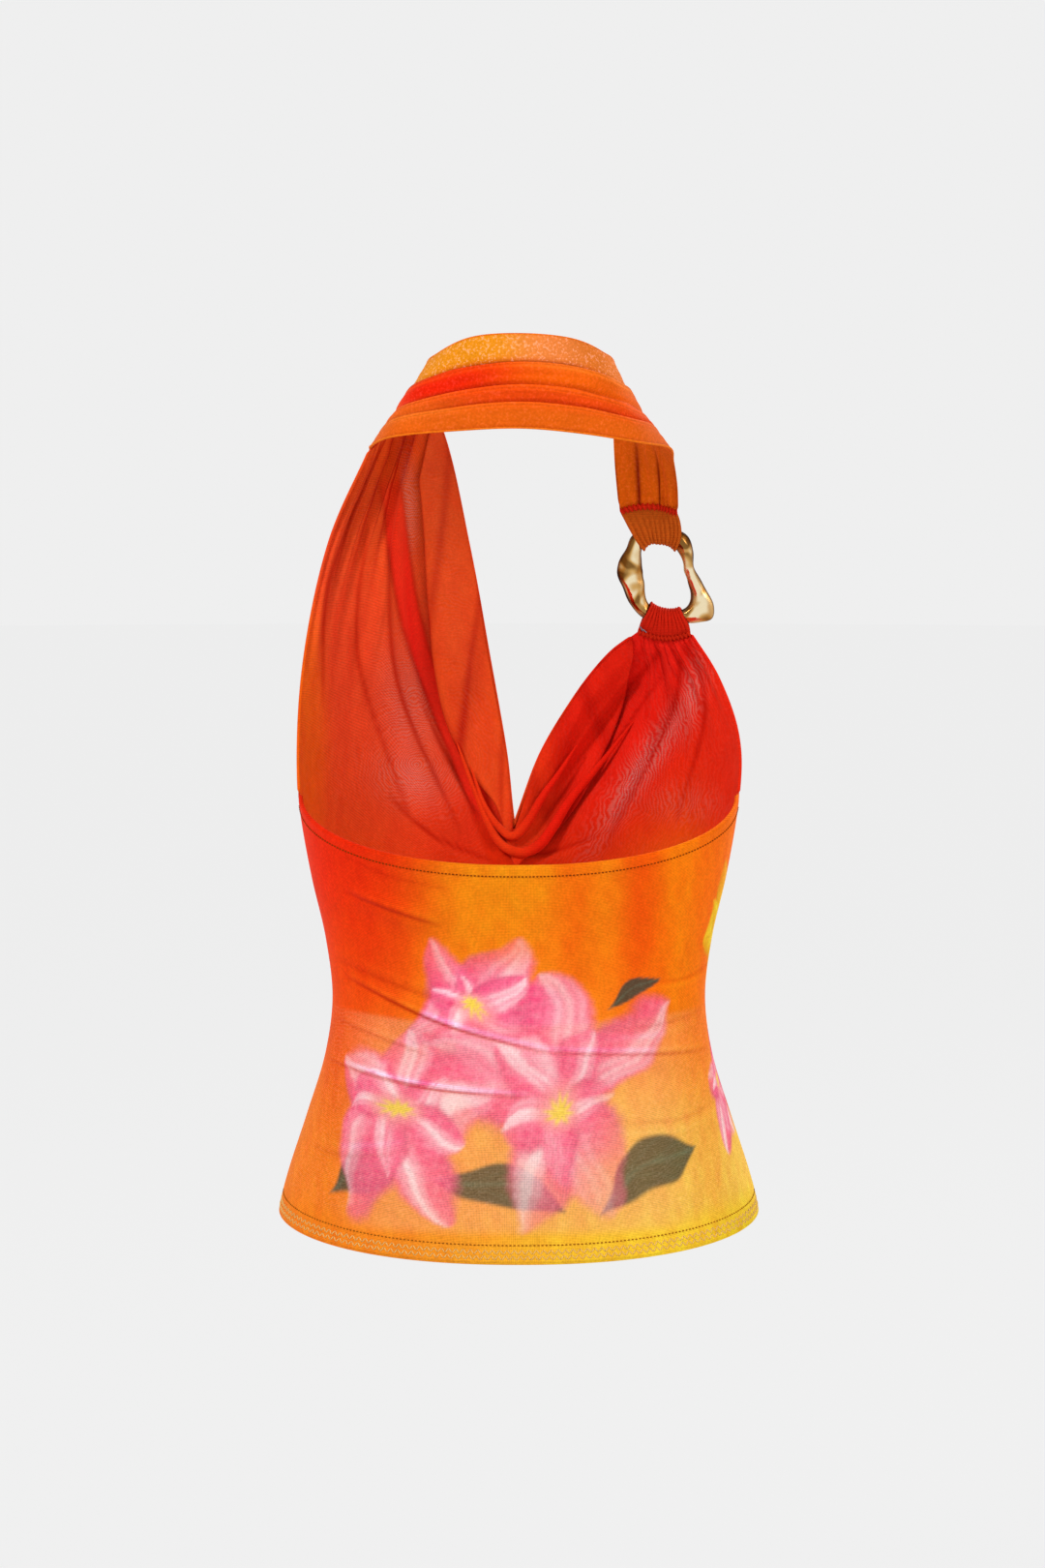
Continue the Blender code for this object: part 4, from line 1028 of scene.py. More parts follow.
def pooled(pools, x, z):
    """Dyes that flow into each other: each place takes most from the pools nearest to it."""
    total, weights = 0.0, 0.0
    for pool in pools:
        away = ((x - pool.x) / pool.wide) ** 2 + ((z - pool.z) / pool.high) ** 2
        weight = np.exp(-0.5 * away)[..., None] + 1e-5 / (1 + away[..., None])
        total = total + weight * np.array(pool[-3:])
        weights = weights + weight
    return total / weights


def ripples(x, z, seed, count, shortest, longest):
    """A smooth random field between about -1 and 1, made of sines of many headings."""
    rng = np.random.default_rng(seed)
    total = np.zeros_like(x)
    for _ in range(count):
        heading, phase = rng.uniform(0, 2 * math.pi, 2)
        turns = 2 * math.pi / rng.uniform(shortest, longest)
        total += np.sin(turns * (x * math.cos(heading) + z * math.sin(heading)) + phase)
    return total / math.sqrt(count)


def bleed(x, z, small, large):
    """Wet dye never keeps a clean outline, so the motifs are read at places a little astray."""
    return (
        x + small * ripples(x, z, 11, 7, 0.020, 0.050) + large * ripples(x, z, 13, 4, 0.070, 0.120),
        z + small * ripples(x, z, 12, 7, 0.020, 0.050) + large * ripples(x, z, 14, 4, 0.070, 0.120),
    )


def turned_to(angle, x, z):
    """Places measured along and across a heading."""
    c, s = math.cos(angle), math.sin(angle)
    return x * c + z * s, z * c - x * s


def mottled(dye, x, z):
    """Uneven dye: long upright streaks and small clouds, a little darker or lighter."""
    long_streaks = ripples(x, 0.25 * z, 31, 8, 0.008, 0.030)
    clouds = ripples(x, z, 32, 8, 0.006, 0.024)
    return dye * (1 + 0.018 * long_streaks + 0.030 * clouds)[..., None] ** np.array((0.5, 2.2, 2.2))


def with_painted_shade(dye, tone, shadow=CREASE_SHADOW):
    """Painted shade: dye darkened towards a shadow colour where the tone is high."""
    return dye * mix(1.0, shadow, tone[..., None])


PLACES = np.linspace(-0.1, 0.1, 201)
print("a field's reach:", np.abs(ripples(PLACES, 0 * PLACES, 31, 8, 0.008, 0.030)).max().round(2))

# %% [markdown]
# Leaves and petals are laid one after the other, each over what is there. A petal is pale and streaked
# inside and deep at one edge. Every blossom draws its petals' sizes, curls and paleness from its own seed.

# %% Leaves and blossoms
PETAL_DEEP = np.array((0.88, 0.040, 0.180))
PETAL_PALE = np.array((0.97, 0.660, 0.690))
YELLOW_DEEP = np.array((0.84, 0.400, 0.004))
YELLOW_PALE = np.array((0.88, 0.740, 0.030))
HEART = np.array((0.86, 0.620, 0.045))
LEAF = np.array((0.016, 0.050, 0.034))
PETAL_LENGTHS = (0.80, 1.15)
PETAL_WIDTHS = (0.30, 0.44)
INNER_PETAL = 0.62
PETAL_CURL = 0.55
PETAL_PALENESS = (0.45, 1.15)
TIP_FAINTNESS = 0.60


def lay_leaves(dye, leaves, x, z):
    """Long dark leaves, broadest before the middle, with a pale rib and side veins."""
    x, z = bleed(x, z, *LEAF_BLEED)
    for leaf in leaves:
        along, across = turned_to(leaf.turn, x - leaf.x, z - leaf.z)
        along, across = along / leaf.length, across / leaf.width
        outline = arch(np.clip(along + 0.5, 0, 1) ** 1.25, 1.3)
        bend = across - 0.60 * np.cos(3 * along)
        cover = ease(0.0, 0.22, outline - np.abs(bend)) * ease(0.0, 0.1, outline)
        veins = np.clip(np.sin(26 * (along - 0.5 * np.abs(bend))), 0, 1) ** 3
        rib = bell(bend, 0.09) + 0.4 * veins
        dye = mix(dye, LEAF * (1 + 0.9 * rib[..., None]), 0.90 * cover[..., None])
    return dye


def lay_blossoms(dye, blossoms, x, z):
    """Soft petals laid one over the other, pale and streaked inside and deep at one edge."""
    wet_x, wet_z = bleed(x, z, *MOTIF_BLEED)
    streaks = ripples(x, z, 21, 9, 0.003, 0.008)
    for number, blossom in enumerate(blossoms):
        rng = np.random.default_rng(40 + number)
        deep, pale = (PETAL_DEEP, PETAL_PALE) if blossom.tint == "pink" else (YELLOW_DEEP, YELLOW_PALE)
        from_x, from_z = wet_x - blossom.x, wet_z - blossom.z
        for k in range(2 * blossom.petals):
            inner = k >= blossom.petals
            spread = k + 0.5 * inner + rng.uniform(-0.20, 0.20)
            angle = blossom.turn + 2 * math.pi * spread / blossom.petals
            size = blossom.radius * (INNER_PETAL if inner else 1.0)
            length, width = size * rng.uniform(*PETAL_LENGTHS), size * rng.uniform(*PETAL_WIDTHS)
            curl, phase = rng.uniform(-PETAL_CURL, PETAL_CURL), rng.uniform(0, 6)
            faint, paleness = rng.uniform(0.0, TIP_FAINTNESS), rng.uniform(*PETAL_PALENESS)
            along, across = turned_to(angle, from_x, from_z)
            along = along / length
            across = across / width - curl * along**2
            outline = arch(np.clip(along, 0, 1) ** 0.85, 0.55) + 0.015 * streaks
            cover = ease(0.0, 0.30, outline - np.abs(across)) * ease(0.0, 0.06, along)
            side = across / np.maximum(outline, 0.15)
            lit = bell(side + 0.30, 0.36) * ease(0.15, 0.50, along)
            fibres = np.sin(7 * side + 3 * along + phase) + 0.7 * np.sin(19 * side + 2 * along)
            lit = np.clip(0.10 + paleness * lit * (0.82 + 0.30 * fibres) + 0.04 * streaks, 0, 1)
            tint = mix(deep, pale, lit[..., None]) * (1 - 0.22 * ease(0.35, 1.0, side))[..., None]
            opaque = 0.95 - faint * ease(0.35, 1.0, along)
            dye = mix(dye, tint, (opaque * cover)[..., None])
        reach = np.hypot(from_x, from_z) / blossom.radius
        ray = np.cos(9 * np.arctan2(from_z, from_x) + blossom.turn)
        glow = 1 - ease(0.06, 0.30, reach)
        dye = mix(dye, mix(PETAL_PALE, HEART, 0.4), 0.45 * glow[..., None])
        heart = 1 - ease(0.05, 0.15, reach + 0.030 * ray)
        dye = mix(dye, HEART, 0.9 * heart[..., None])
    return dye


print("petals on the back:", sum(2 * blossom.petals for blossom in BACK_BLOSSOMS))

# %% [markdown]
# The dye of each panel is read round the body, not straight through it, so that the print keeps its scale
# at the sides. The front has a red strip where a fold lies doubled, and painted shade lines where it is
# gathered.

# %% Dye of the panels
SINGLE_CLOTH = np.array((0.92, 0.42, 0.17))
STRIP = Fold("doubled strip", -0.0840, -0.0600, -0.0690, -0.1650, -0.0230, -0.2900, 0.0, 0.0066, 1.0)
STRIP_RED = np.array((0.90, 0.016, 0.009))


def round_the_side(place, far_side):
    """How far round from the middle a place is: its x, and at the sides also its depth."""
    x, y = place[..., 0], place[..., 1]
    depth = np.abs(y - far_side)
    return x + np.sign(x) * 0.8 * depth * ease(0.085, 0.140, np.abs(x))


def below_arc(x, z):
    """1 where the back's mesh lies single, below a low arc."""
    return ease(0.0, 0.004, -0.389 - 0.012 * np.cos(9 * x) - z)


def back_dye_and_shade(place):
    """The back's print: paler where the mesh lies single, with painted shade in its creases and a painted
    highlight beside them.
    """
    x, z = place[..., 0], place[..., 2]
    across = round_the_side(place, figure_sizes(z)[2])
    single = (below_arc(x, z) * ease(0.122, 0.080, np.abs(x)) * ease(-0.532, -0.524, z))[..., None]
    dye = mix(mottled(pooled(BACK_DYES, across, z), across, z), SINGLE_CLOTH, 0.24 * single)
    dye = lay_blossoms(lay_leaves(dye, BACK_LEAVES, across, z), BACK_BLOSSOMS, across, z)
    dye = mix(dye, SINGLE_CLOTH, 0.07 * single)
    # A painted highlight beside each crease and painted shade in it.
    lit = crease_tone(BACK_CREASES, x, z, -0.5)
    return with_painted_shade(dye, crease_tone(BACK_CREASES, x, z, 1.0)) * (1 + lit[..., None] * CREASE_LIGHT)


def front_dye_and_shade(place):
    """The front's print, with the red strip where a fold lies doubled, painted shade along the strip's edges,
    and crease lines of painted shade that also stand for doubled cloth.
    """
    x, z = place[..., 0], place[..., 2]
    across = round_the_side(place, figure_sizes(z)[1])
    dye = mottled(pooled(FRONT_DYES, across, z), across, z)
    dye = lay_blossoms(lay_leaves(dye, FRONT_LEAVES, across, z), FRONT_BLOSSOMS, across, z)
    off, along = across_and_along(STRIP, x, z)
    ribbon = ease(1.15, 0.75, np.abs(off) / STRIP.width) * arch(along, 0.35)
    edges = bell(np.abs(off) - STRIP.width, 0.0015) * arch(along, 0.35)
    # Crease lines of painted shade, which also stand for cloth lying doubled.
    dye = with_painted_shade(dye, 0.8 * crease_tone(FRONT_CREASES, x, z, 0.0))
    # Painted shade along the edges of the doubled strip.
    return with_painted_shade(mix(dye, STRIP_RED, 0.85 * ribbon[..., None]), 0.75 * edges)


def gather_shade_lines(u, v):
    """Painted shade along the pinched lines of both gathers, deepest near their seams."""
    tone = np.zeros_like(u)
    shoulder = (u - SHOULDER_GATHER_START) / (1 - SHOULDER_GATHER_START)
    for gather, share in ((RING_GATHER, u / RING_GATHER_END), (SHOULDER_GATHER, shoulder)):
        fine = (1 - np.abs(np.sin(math.pi * gather.fine * wandering(share)))) ** 2.5
        wide = (0.5 + 0.5 * np.cos(2 * math.pi * gather.wide * share**0.85)) ** 4
        lines = 1.1 * fine * ease(gather.fine_from, 0.97, v) + 0.50 * wide * ease(gather.wide_from, 0.95, v)
        tone = np.where((share > 0.02) & (share < 0.98), np.maximum(tone, lines), tone)
    return np.clip(tone, 0, 1)


print("doubled strip, mm wide:", 2000 * STRIP.width)

# %% [markdown]
# The band has pools of its own, placed by how far along and across it they lie. Each folded lip gets a
# painted highlight, and the crease above it painted shade.

# %% Dye of the band
# Painted shade colour for the pleats' creases, the strap's tucks and the lower edge.
BAND_SHADOW = np.array((0.30, 0.07, 0.06))
BAND_DYES = (
    Pool("gold upper tier", 0.24, 0.14, 0.10, 0.085, 0.82, 0.27, 0.006),
    Pool("rose upper tier", 0.47, 0.14, 0.05, 0.085, 0.84, 0.22, 0.050),
    Pool("orange upper tier", 0.60, 0.15, 0.07, 0.100, 0.80, 0.18, 0.012),
    Pool("red second tier", 0.24, 0.43, 0.09, 0.08, 0.80, 0.012, 0.001),
    Pool("orange second tier", 0.50, 0.45, 0.09, 0.08, 0.84, 0.11, 0.002),
    Pool("red third tier", 0.44, 0.66, 0.16, 0.06, 0.80, 0.060, 0.003),
    Pool("orange third tier", 0.18, 0.70, 0.06, 0.08, 0.76, 0.13, 0.008),
    Pool("orange lower tier", 0.40, 0.90, 0.22, 0.08, 0.74, 0.11, 0.004),
    Pool("orange left tip", 0.03, 0.60, 0.05, 0.40, 0.80, 0.14, 0.010),
    Pool("strap", 0.88, 0.50, 0.09, 0.60, 0.68, 0.105, 0.002),
)


def band_dye_and_shade(s, w):
    """The band's dye, with a painted highlight on each folded lip, painted shade in the crease above it, in
    the strap's tucks and along the lower edge.
    """
    dye = pooled(BAND_DYES, s, w)
    fade = ease(0.0, 0.05, s) * (1 - ease(0.72, 0.84, s))
    for pleat in PLEATS:
        off = w - pleat.nape
        # Painted shade in the crease above each lip, and a painted highlight on the lip itself.
        crease = bell(off + 0.022, 0.0075) + 0.35 * bell(off + 0.045, 0.025)
        crease = np.clip(crease, 0, 1) * fade * mix(1.0, 0.75, ease(0.1, 0.5, s))
        lip = bell(off - 0.016, 0.008) * fade
        dye = with_painted_shade(dye, crease, BAND_SHADOW) * (1 + 0.45 * lip[..., None] * CREASE_LIGHT)
    # Painted shade in the strap's tucks and along the band's lower edge.
    tucks = bell(w - 0.30 - 0.10 * (1 - s), 0.035) + bell(w - 0.60, 0.030)
    shade = tucks * ease(0.78, 0.93, s) + 0.45 * ease(0.94, 1.02, w) * fade
    return with_painted_shade(dye, np.clip(shade, 0, 1), BAND_SHADOW)


print("pools of dye on the band:", len(BAND_DYES))

# %% [markdown]
# A few short helpers keep the materials readable: one starts a material, and the others add a sum, a
# noise, a mix of colours or a bump, and hand back the socket that the next step reads.

# %% Material helpers
def start_material(name):
    """A new material: itself, its node tree, its shader and the piece's own coordinates."""
    material = bpy.data.materials.new(name)
    material.use_nodes = True
    tree = material.node_tree
    place = node_of(tree, "ShaderNodeTexCoord").outputs["Object"]
    return material, tree, tree.nodes["Principled BSDF"], place


def feed(tree, value, socket):
    """Gives a socket a link or a plain value."""
    if isinstance(value, bpy.types.NodeSocket):
        tree.links.new(value, socket)
    else:
        socket.default_value = value


def math_node(tree, operation, *values, clamp=False):
    node = node_of(tree, "ShaderNodeMath", operation=operation, use_clamp=clamp)
    for socket, value in zip(node.inputs, values):
        feed(tree, value, socket)
    return node.outputs[0]


def vector_node(tree, operation, *values):
    node = node_of(tree, "ShaderNodeVectorMath", operation=operation)
    for socket, value in zip(node.inputs, values):
        feed(tree, value, socket)
    return node.outputs["Value" if operation == "LENGTH" else "Vector"]


def noise(tree, place, **values):
    texture = node_of(tree, "ShaderNodeTexNoise", **values)
    tree.links.new(place, texture.inputs["Vector"])
    return texture.outputs["Fac"]


def mixed(tree, share, first, second, **values):
    """Two colours mixed, each a link or a plain colour."""
    node = node_of(tree, "ShaderNodeMix", data_type="RGBA", **values)
    for name, value in (("Factor", share), ("A", first), ("B", second)):
        feed(tree, value, node.inputs[name])
    return node.outputs["Result"]


def add_bump(tree, shader, height, strength, distance):
    bump = node_of(tree, "ShaderNodeBump", Strength=strength, Distance=distance)
    tree.links.new(height, bump.inputs["Height"])
    tree.links.new(bump.outputs["Normal"], shader.inputs["Normal"])


print("material helpers ready")

# %% [markdown]
# Power mesh is a fine knit with tiny openings in slanting rows. One material serves every piece of it.
# It reads the dye from the mesh and the knit from the piece's own UV map, which is in metres of cloth,
# so that the stitches have the same size everywhere.
#
# Two layers of mesh that lie over each other beat against each other in fine curved lines. Rings of
# lines round one place, bent by a noise, stand for them where the cloth is sheer.

# %% Knit and veil
KNIT_PITCH = 0.00135
KNIT_SLANT = 0.62
SECOND_LAYER_PITCH = 1.06 * KNIT_PITCH
VEIL_CENTRE = (-0.068, 0.0, -0.252)
VEIL_STRETCH = (1.0, 0.0, 1.2)
VEIL_PITCH = 0.0024
VEIL_SWAY = 0.024


def knit_pattern(tree, coordinates, up, pitch):
    """0 on the yarn and 1 in the middle of an opening."""
    split = node_of(tree, "ShaderNodeSeparateXYZ")
    tree.links.new(coordinates, split.inputs[0])
    waves = []
    for slant in (KNIT_SLANT, -KNIT_SLANT):
        run = math_node(tree, "MULTIPLY_ADD", split.outputs[up], slant, split.outputs["X"])
        waves.append(math_node(tree, "SINE", math_node(tree, "MULTIPLY", run, 2 * math.pi / pitch)))
    return math_node(tree, "MULTIPLY_ADD", math_node(tree, "MULTIPLY", *waves), 0.5, 0.5)


def veil_lines(tree, coordinates, sway):
    """The fine curved lines that two layers of mesh make where one lies over the other."""
    away = vector_node(tree, "SUBTRACT", coordinates, VEIL_CENTRE)
    reach = vector_node(tree, "LENGTH", vector_node(tree, "MULTIPLY", away, VEIL_STRETCH))
    bent = math_node(tree, "MULTIPLY_ADD", sway, VEIL_SWAY, reach)
    wave = math_node(tree, "SINE", math_node(tree, "MULTIPLY", bent, 2 * math.pi / VEIL_PITCH))
    return math_node(tree, "MULTIPLY_ADD", wave, 0.65, 0.35, clamp=True)


print("knit pitch, mm:", 1000 * KNIT_PITCH, "veil pitch, mm:", 1000 * VEIL_PITCH)

# %% [markdown]
# The openings are darker, dip a little and let a little light through. How much is an attribute too:
# doubled cloth shows almost nothing behind it. Sheer cloth also catches pale flecks of light.

# %% Mesh material
FLECK = (0.93, 0.78, 0.66, 1)
Knit = namedtuple("Knit", "name grain depth openness roughness fleck veil veil_colour")


def mesh_material(knit):
    """Printed mesh: its dye with its painted shade, yarn, flecks, veil lines and openings, with a bump for
    the knit.
    """
    material, tree, shader, place = start_material(knit.name)
    sheer = node_of(tree, "ShaderNodeAttribute", attribute_name="sheer").outputs["Fac"]
    dye = node_of(tree, "ShaderNodeAttribute", attribute_name="dye").outputs["Color"]
    cloth_map = node_of(tree, "ShaderNodeUVMap", uv_map="cloth").outputs[0]
    pattern = knit_pattern(tree, cloth_map, "Y", KNIT_PITCH)
    cloudy = noise(tree, place, Scale=38.0, Detail=3.0, Roughness=0.55)
    yarn = noise(tree, place, Scale=620.0, Detail=2.0)

    shade = math_node(tree, "MULTIPLY_ADD", pattern, -knit.grain, 1.0 + 0.45 * knit.grain)
    clouds = math_node(tree, "MULTIPLY_ADD", cloudy, 0.22, 0.89)
    grains = math_node(tree, "MULTIPLY_ADD", yarn, 1.2 * knit.grain, 1.0 - 0.6 * knit.grain)
    value = math_node(tree, "MULTIPLY", math_node(tree, "MULTIPLY", shade, clouds), grains)
    coloured = node_of(tree, "ShaderNodeVectorMath", operation="SCALE")
    tree.links.new(dye, coloured.inputs[0])
    tree.links.new(value, coloured.inputs["Scale"])
    spark = math_node(tree, "MULTIPLY_ADD", yarn, 8.0, -4.4, clamp=True)
    spark = math_node(tree, "MULTIPLY", math_node(tree, "MULTIPLY", spark, sheer), knit.fleck)
    flecked = mixed(tree, spark, coloured.outputs["Vector"], FLECK)
    lines = math_node(tree, "MULTIPLY", veil_lines(tree, place, cloudy), knit.veil)
    lines = math_node(tree, "MULTIPLY", lines, sheer, clamp=True)
    tree.links.new(mixed(tree, lines, flecked, knit.veil_colour), shader.inputs["Base Color"])

    opening = math_node(tree, "MULTIPLY_ADD", pattern, 2.0, -0.7, clamp=True)
    second_layer = knit_pattern(tree, place, "Z", SECOND_LAYER_PITCH)
    beats = math_node(tree, "MULTIPLY_ADD", second_layer, 1.6, -0.3, clamp=True)
    seen = math_node(tree, "MULTIPLY", math_node(tree, "MULTIPLY", opening, beats), sheer)
    tree.links.new(math_node(tree, "MULTIPLY_ADD", seen, -knit.openness, 1.0), shader.inputs["Alpha"])
    add_bump(tree, shader, math_node(tree, "MULTIPLY_ADD", pattern, -1.0, yarn), 0.35, knit.depth)
    rough = math_node(tree, "MULTIPLY_ADD", pattern, 0.12, knit.roughness)
    tree.links.new(rough, shader.inputs["Roughness"])
    set_sockets(
        shader,
        Sheen_Weight=0.07, Sheen_Roughness=0.45, Sheen_Tint=(1.0, 0.50, 0.24, 1),
        Specular_IOR_Level=0.10, Specular_Tint=(1.0, 0.62, 0.36, 1),
    )
    return material


PINK_GREY = (0.60, 0.29, 0.23, 1)
PEACH = (0.95, 0.60, 0.30, 1)
BACK_MESH = mesh_material(Knit("printed_power_mesh", 0.46, 0.00016, 0.50, 0.80, 0.08, 0.12, PEACH))
FRONT_MESH = mesh_material(Knit("sheer_red_mesh", 0.32, 0.00012, 0.80, 0.82, 0.05, 0.50, PINK_GREY))
BAND_MESH = mesh_material(Knit("band_mesh", 0.50, 0.00018, 0.30, 0.80, 0.35, 0.0, PEACH))
print("mesh materials:", [mesh.name for mesh in (BACK_MESH, FRONT_MESH, BAND_MESH)])

# %% [markdown]
# Polished cast metal shows its surroundings more than its own colour. Its gold varies in slow patches
# from deep to pale. An attribute darkens and dulls the sides of the bar and leaves its faces clear. The
# relief is in the mesh, and a soft bump adds the small ripples of the casting skin. Thread is dull and
# slightly hairy, so its material is rough with a fine twist.

# %% Metal and thread materials
GOLD_TONES = ((0.36, (0.24, 0.115, 0.028, 1)), (0.48, (0.68, 0.39, 0.12, 1)), (0.60, (0.95, 0.80, 0.52, 1)))


def cast_gold():
    material, tree, shader, place = start_material("cast_gold")
    flow = noise(tree, place, Scale=70.0, Detail=1.0, Distortion=0.8)
    skin = noise(tree, place, Scale=190.0, Detail=1.0)
    tone = node_of(tree, "ShaderNodeValToRGB")
    stops = tone.color_ramp.elements
    stops.new(GOLD_TONES[1][0])
    for stop, (position, colour) in zip(stops, GOLD_TONES):
        stop.position, stop.color = position, colour
    tree.links.new(flow, tone.inputs["Fac"])
    # The bar's sides are made darker and duller from an attribute.
    side_tone = node_of(tree, "ShaderNodeAttribute", attribute_name="dye")
    side_toned = mixed(tree, 1.0, tone.outputs["Color"], side_tone.outputs["Color"], blend_type="MULTIPLY")
    tree.links.new(side_toned, shader.inputs["Base Color"])
    add_bump(tree, shader, skin, 0.30, 0.0006)
    rough = math_node(tree, "MULTIPLY_ADD", skin, 0.08, 0.06)
    dull = math_node(tree, "MULTIPLY_ADD", side_tone.outputs["Fac"], -0.55, 0.55, clamp=True)
    tree.links.new(math_node(tree, "ADD", rough, dull), shader.inputs["Roughness"])
    set_sockets(shader, Metallic=1.0)
    return material


def thread_material(name, *colour):
    material, tree, shader, place = start_material(name)
    fuzz = noise(tree, place, Scale=1400.0, Detail=1.0)
    dark = (*[c * 0.62 for c in colour], 1)
    light = (*[min(1.0, c * 1.25) for c in colour], 1)
    tree.links.new(mixed(tree, fuzz, dark, light), shader.inputs["Base Color"])
    add_bump(tree, shader, fuzz, 0.5, 0.0001)
    set_sockets(shader, Roughness=1.0, Specular_IOR_Level=0.0)
    return material


GOLD = cast_gold()
RED_THREAD = thread_material("red_thread", 0.56, 0.020, 0.006)
BROWN_THREAD = thread_material("brown_thread", 0.20, 0.035, 0.003)
HEM_THREAD = thread_material("hem_thread", 0.34, 0.110, 0.008)
GREY_THREAD = thread_material("grey_thread", 0.20, 0.25, 0.30)
PALE_THREAD = thread_material("pale_thread", 0.86, 0.50, 0.16)
print("materials:", len(bpy.data.materials))

# %% [markdown]
# Every sheet is a flat bmesh grid that its formula bends. The grid's corners keep their u and v, so the
# same numbers lay the UV map in metres, the dye and the sheer places. Solidify then gives the sheet its
# thickness on both sides of the middle surface, as the CAD solids have it.

# %% Making sheets
SHELL = 0.0009


def link_piece(mesh, name):
    """The object of a mesh, in the scene and on the body root."""
    obj = bpy.data.objects.new(name, mesh)
    bpy.context.scene.collection.objects.link(obj)
    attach(obj, "root")
    return obj


def paint(mesh, places, uv, dye, sheer):
    """Lays the UV map, the dye with any painted shade in it, and the sheerness, which the materials read."""
    corners = np.empty(len(mesh.loops), dtype=np.int32)
    mesh.loops.foreach_get("vertex_index", corners)
    cloth = mesh.uv_layers.new(name="cloth")
    cloth.data.foreach_set("uv", uv[corners].astype(np.float32).ravel())
    colour = np.ones((len(places), 4), dtype=np.float32)
    colour[:, :3] = dye
    mesh.attributes.new("dye", "FLOAT_COLOR", "POINT").data.foreach_set("color", colour.ravel())
    mesh.attributes.new("sheer", "FLOAT", "POINT").data.foreach_set(
        "value", np.broadcast_to(sheer, len(places)).astype(np.float32).copy()
    )


def grid_places(columns, rows, u_places=None, v_places=None):
    """A flat bmesh grid, with the u and v of each of its corners."""
    flat_grid = bmesh.new()
    bmesh.ops.create_grid(flat_grid, x_segments=columns, y_segments=rows, size=0.5)
    flat = np.array([vert.co[:2] for vert in flat_grid.verts])
    u, v = np.clip(flat[:, 0] + 0.5, 0, 1), np.clip(flat[:, 1] + 0.5, 0, 1)
    if u_places is not None:
        u = u_places[np.rint(u * columns).astype(int)]
    if v_places is not None:
        v = v_places[np.rint(v * rows).astype(int)]
    return flat_grid, u, v


def bend_grid(grid, places):
    for vert, place in zip(grid.verts, places):
        vert.co = place


def mesh_from(form, name, material):
    """A smooth mesh from a bmesh, which is then let go."""
    mesh = bpy.data.meshes.new(name)
    form.to_mesh(mesh)
    form.free()
    mesh.materials.append(material)
    mesh.shade_smooth()
    return mesh


def sheet_piece(name, columns, rows, place, size, dye, sheer, material, slot, shell=SHELL, **places):
    """One sheet: its grid, its form, its size in metres for the UV map, its dye and its sheerness."""
    flat_grid, u, v = grid_places(columns, rows, **places)
    bent = place(u, v)
    bend_grid(flat_grid, bent)
    mesh = mesh_from(flat_grid, name, material)
    paint(mesh, bent, np.stack([u * size[0], v * size[1]], axis=-1), dye(bent, u, v), sheer(bent, u, v))
    obj = link_piece(mesh, name)
    wall = obj.modifiers.new("thickness", "SOLIDIFY")
    wall.thickness = shell
    wall.offset = 0.0
    wall.use_even_offset = True
    wall.use_quality_normals = True
    print(name, "faces:", len(mesh.polygons))
    return obj


# %% [markdown]
# The back and the front come first. Below a low arc across the back the real mesh lies single, and so
# it is paler and sheerer there. On the front the cloth is single beside the folds and doubled where
# they lie over each other.

# %% Back and front
def back_sheer(place, u, v):
    """Sheer below the arc, apart from the hem, where the cloth is turned in."""
    return 0.02 + 0.40 * below_arc(place[..., 0], place[..., 2]) * ease(0.05, 0.1, v)


SheerSpot = namedtuple("SheerSpot", "name x z wide high lean share")
FRONT_SHEER = (
    SheerSpot("left panel", -0.0720, -0.2150, 0.020, 0.045, 0.10, 0.68),
    SheerSpot("left panel, low", -0.0700, -0.2600, 0.026, 0.022, 0.30, 0.72),
    SheerSpot("left shoulder", -0.0720, -0.0800, 0.006, 0.030, 0.00, 0.80),
    SheerSpot("right wing", 0.0860, -0.2480, 0.011, 0.052, -0.62, 1.00),
    SheerSpot("right wing, high", 0.1140, -0.2050, 0.007, 0.026, -0.15, 0.90),
    SheerSpot("right wing, low", 0.1080, -0.2750, 0.026, 0.014, -0.30, 0.40),
    SheerSpot("neckline", 0.0350, -0.2300, 0.005, 0.016, -0.30, 0.60),
)


def front_sheer(place, u, v):
    """Sheer at the named spots and low down, but not where a fold doubles the cloth."""
    x, z = place[..., 0], place[..., 2]
    sheer = np.full_like(x, 0.06)
    for spot in FRONT_SHEER:
        lean_x = x - spot.x + spot.lean * (z - spot.z)
        spread = (lean_x / spot.wide) ** 2 + ((z - spot.z) / spot.high) ** 2
        sheer = np.maximum(sheer, spot.share * np.exp(-spread))
    doubled = crease_tone(FRONT_CREASES, x, z, 0.0)
    off, _ = across_and_along(STRIP, x, z)
    doubled = np.maximum(doubled, ease(1.2, 0.9, np.abs(off) / STRIP.width))
    below = 0.20 * ease(-0.38, -0.42, z)
    return (sheer + below) * (1 - 0.9 * doubled)


back = sheet_piece(
    "back_cloth", 272, 172, back_cloth, (0.37, 0.27),
    lambda bent, u, v: back_dye_and_shade(bent), back_sheer, BACK_MESH, "back_mesh",
)
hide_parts("back_panel")
FRONT_COLUMNS = spans(((0.0, 0.28, 64), (0.28, 0.50, 54), (0.50, 0.78, 66), (0.78, 1.0, 72)))
front = sheet_piece(
    "front_cloth", len(FRONT_COLUMNS) - 1, 158, front_cloth, (0.42, 0.46),
    # The gathers' pinched lines are darkened with painted shade.
    lambda bent, u, v: with_painted_shade(front_dye_and_shade(bent), gather_shade_lines(u, v)), front_sheer, FRONT_MESH, "front_mesh",
    u_places=FRONT_COLUMNS,
)
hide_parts("front_panel")

# %% [markdown]
# The facing and the neck band use the same recipe with their own dyes. The band's rows crowd where the
# pleats turn, so that each lip is a smooth roll.

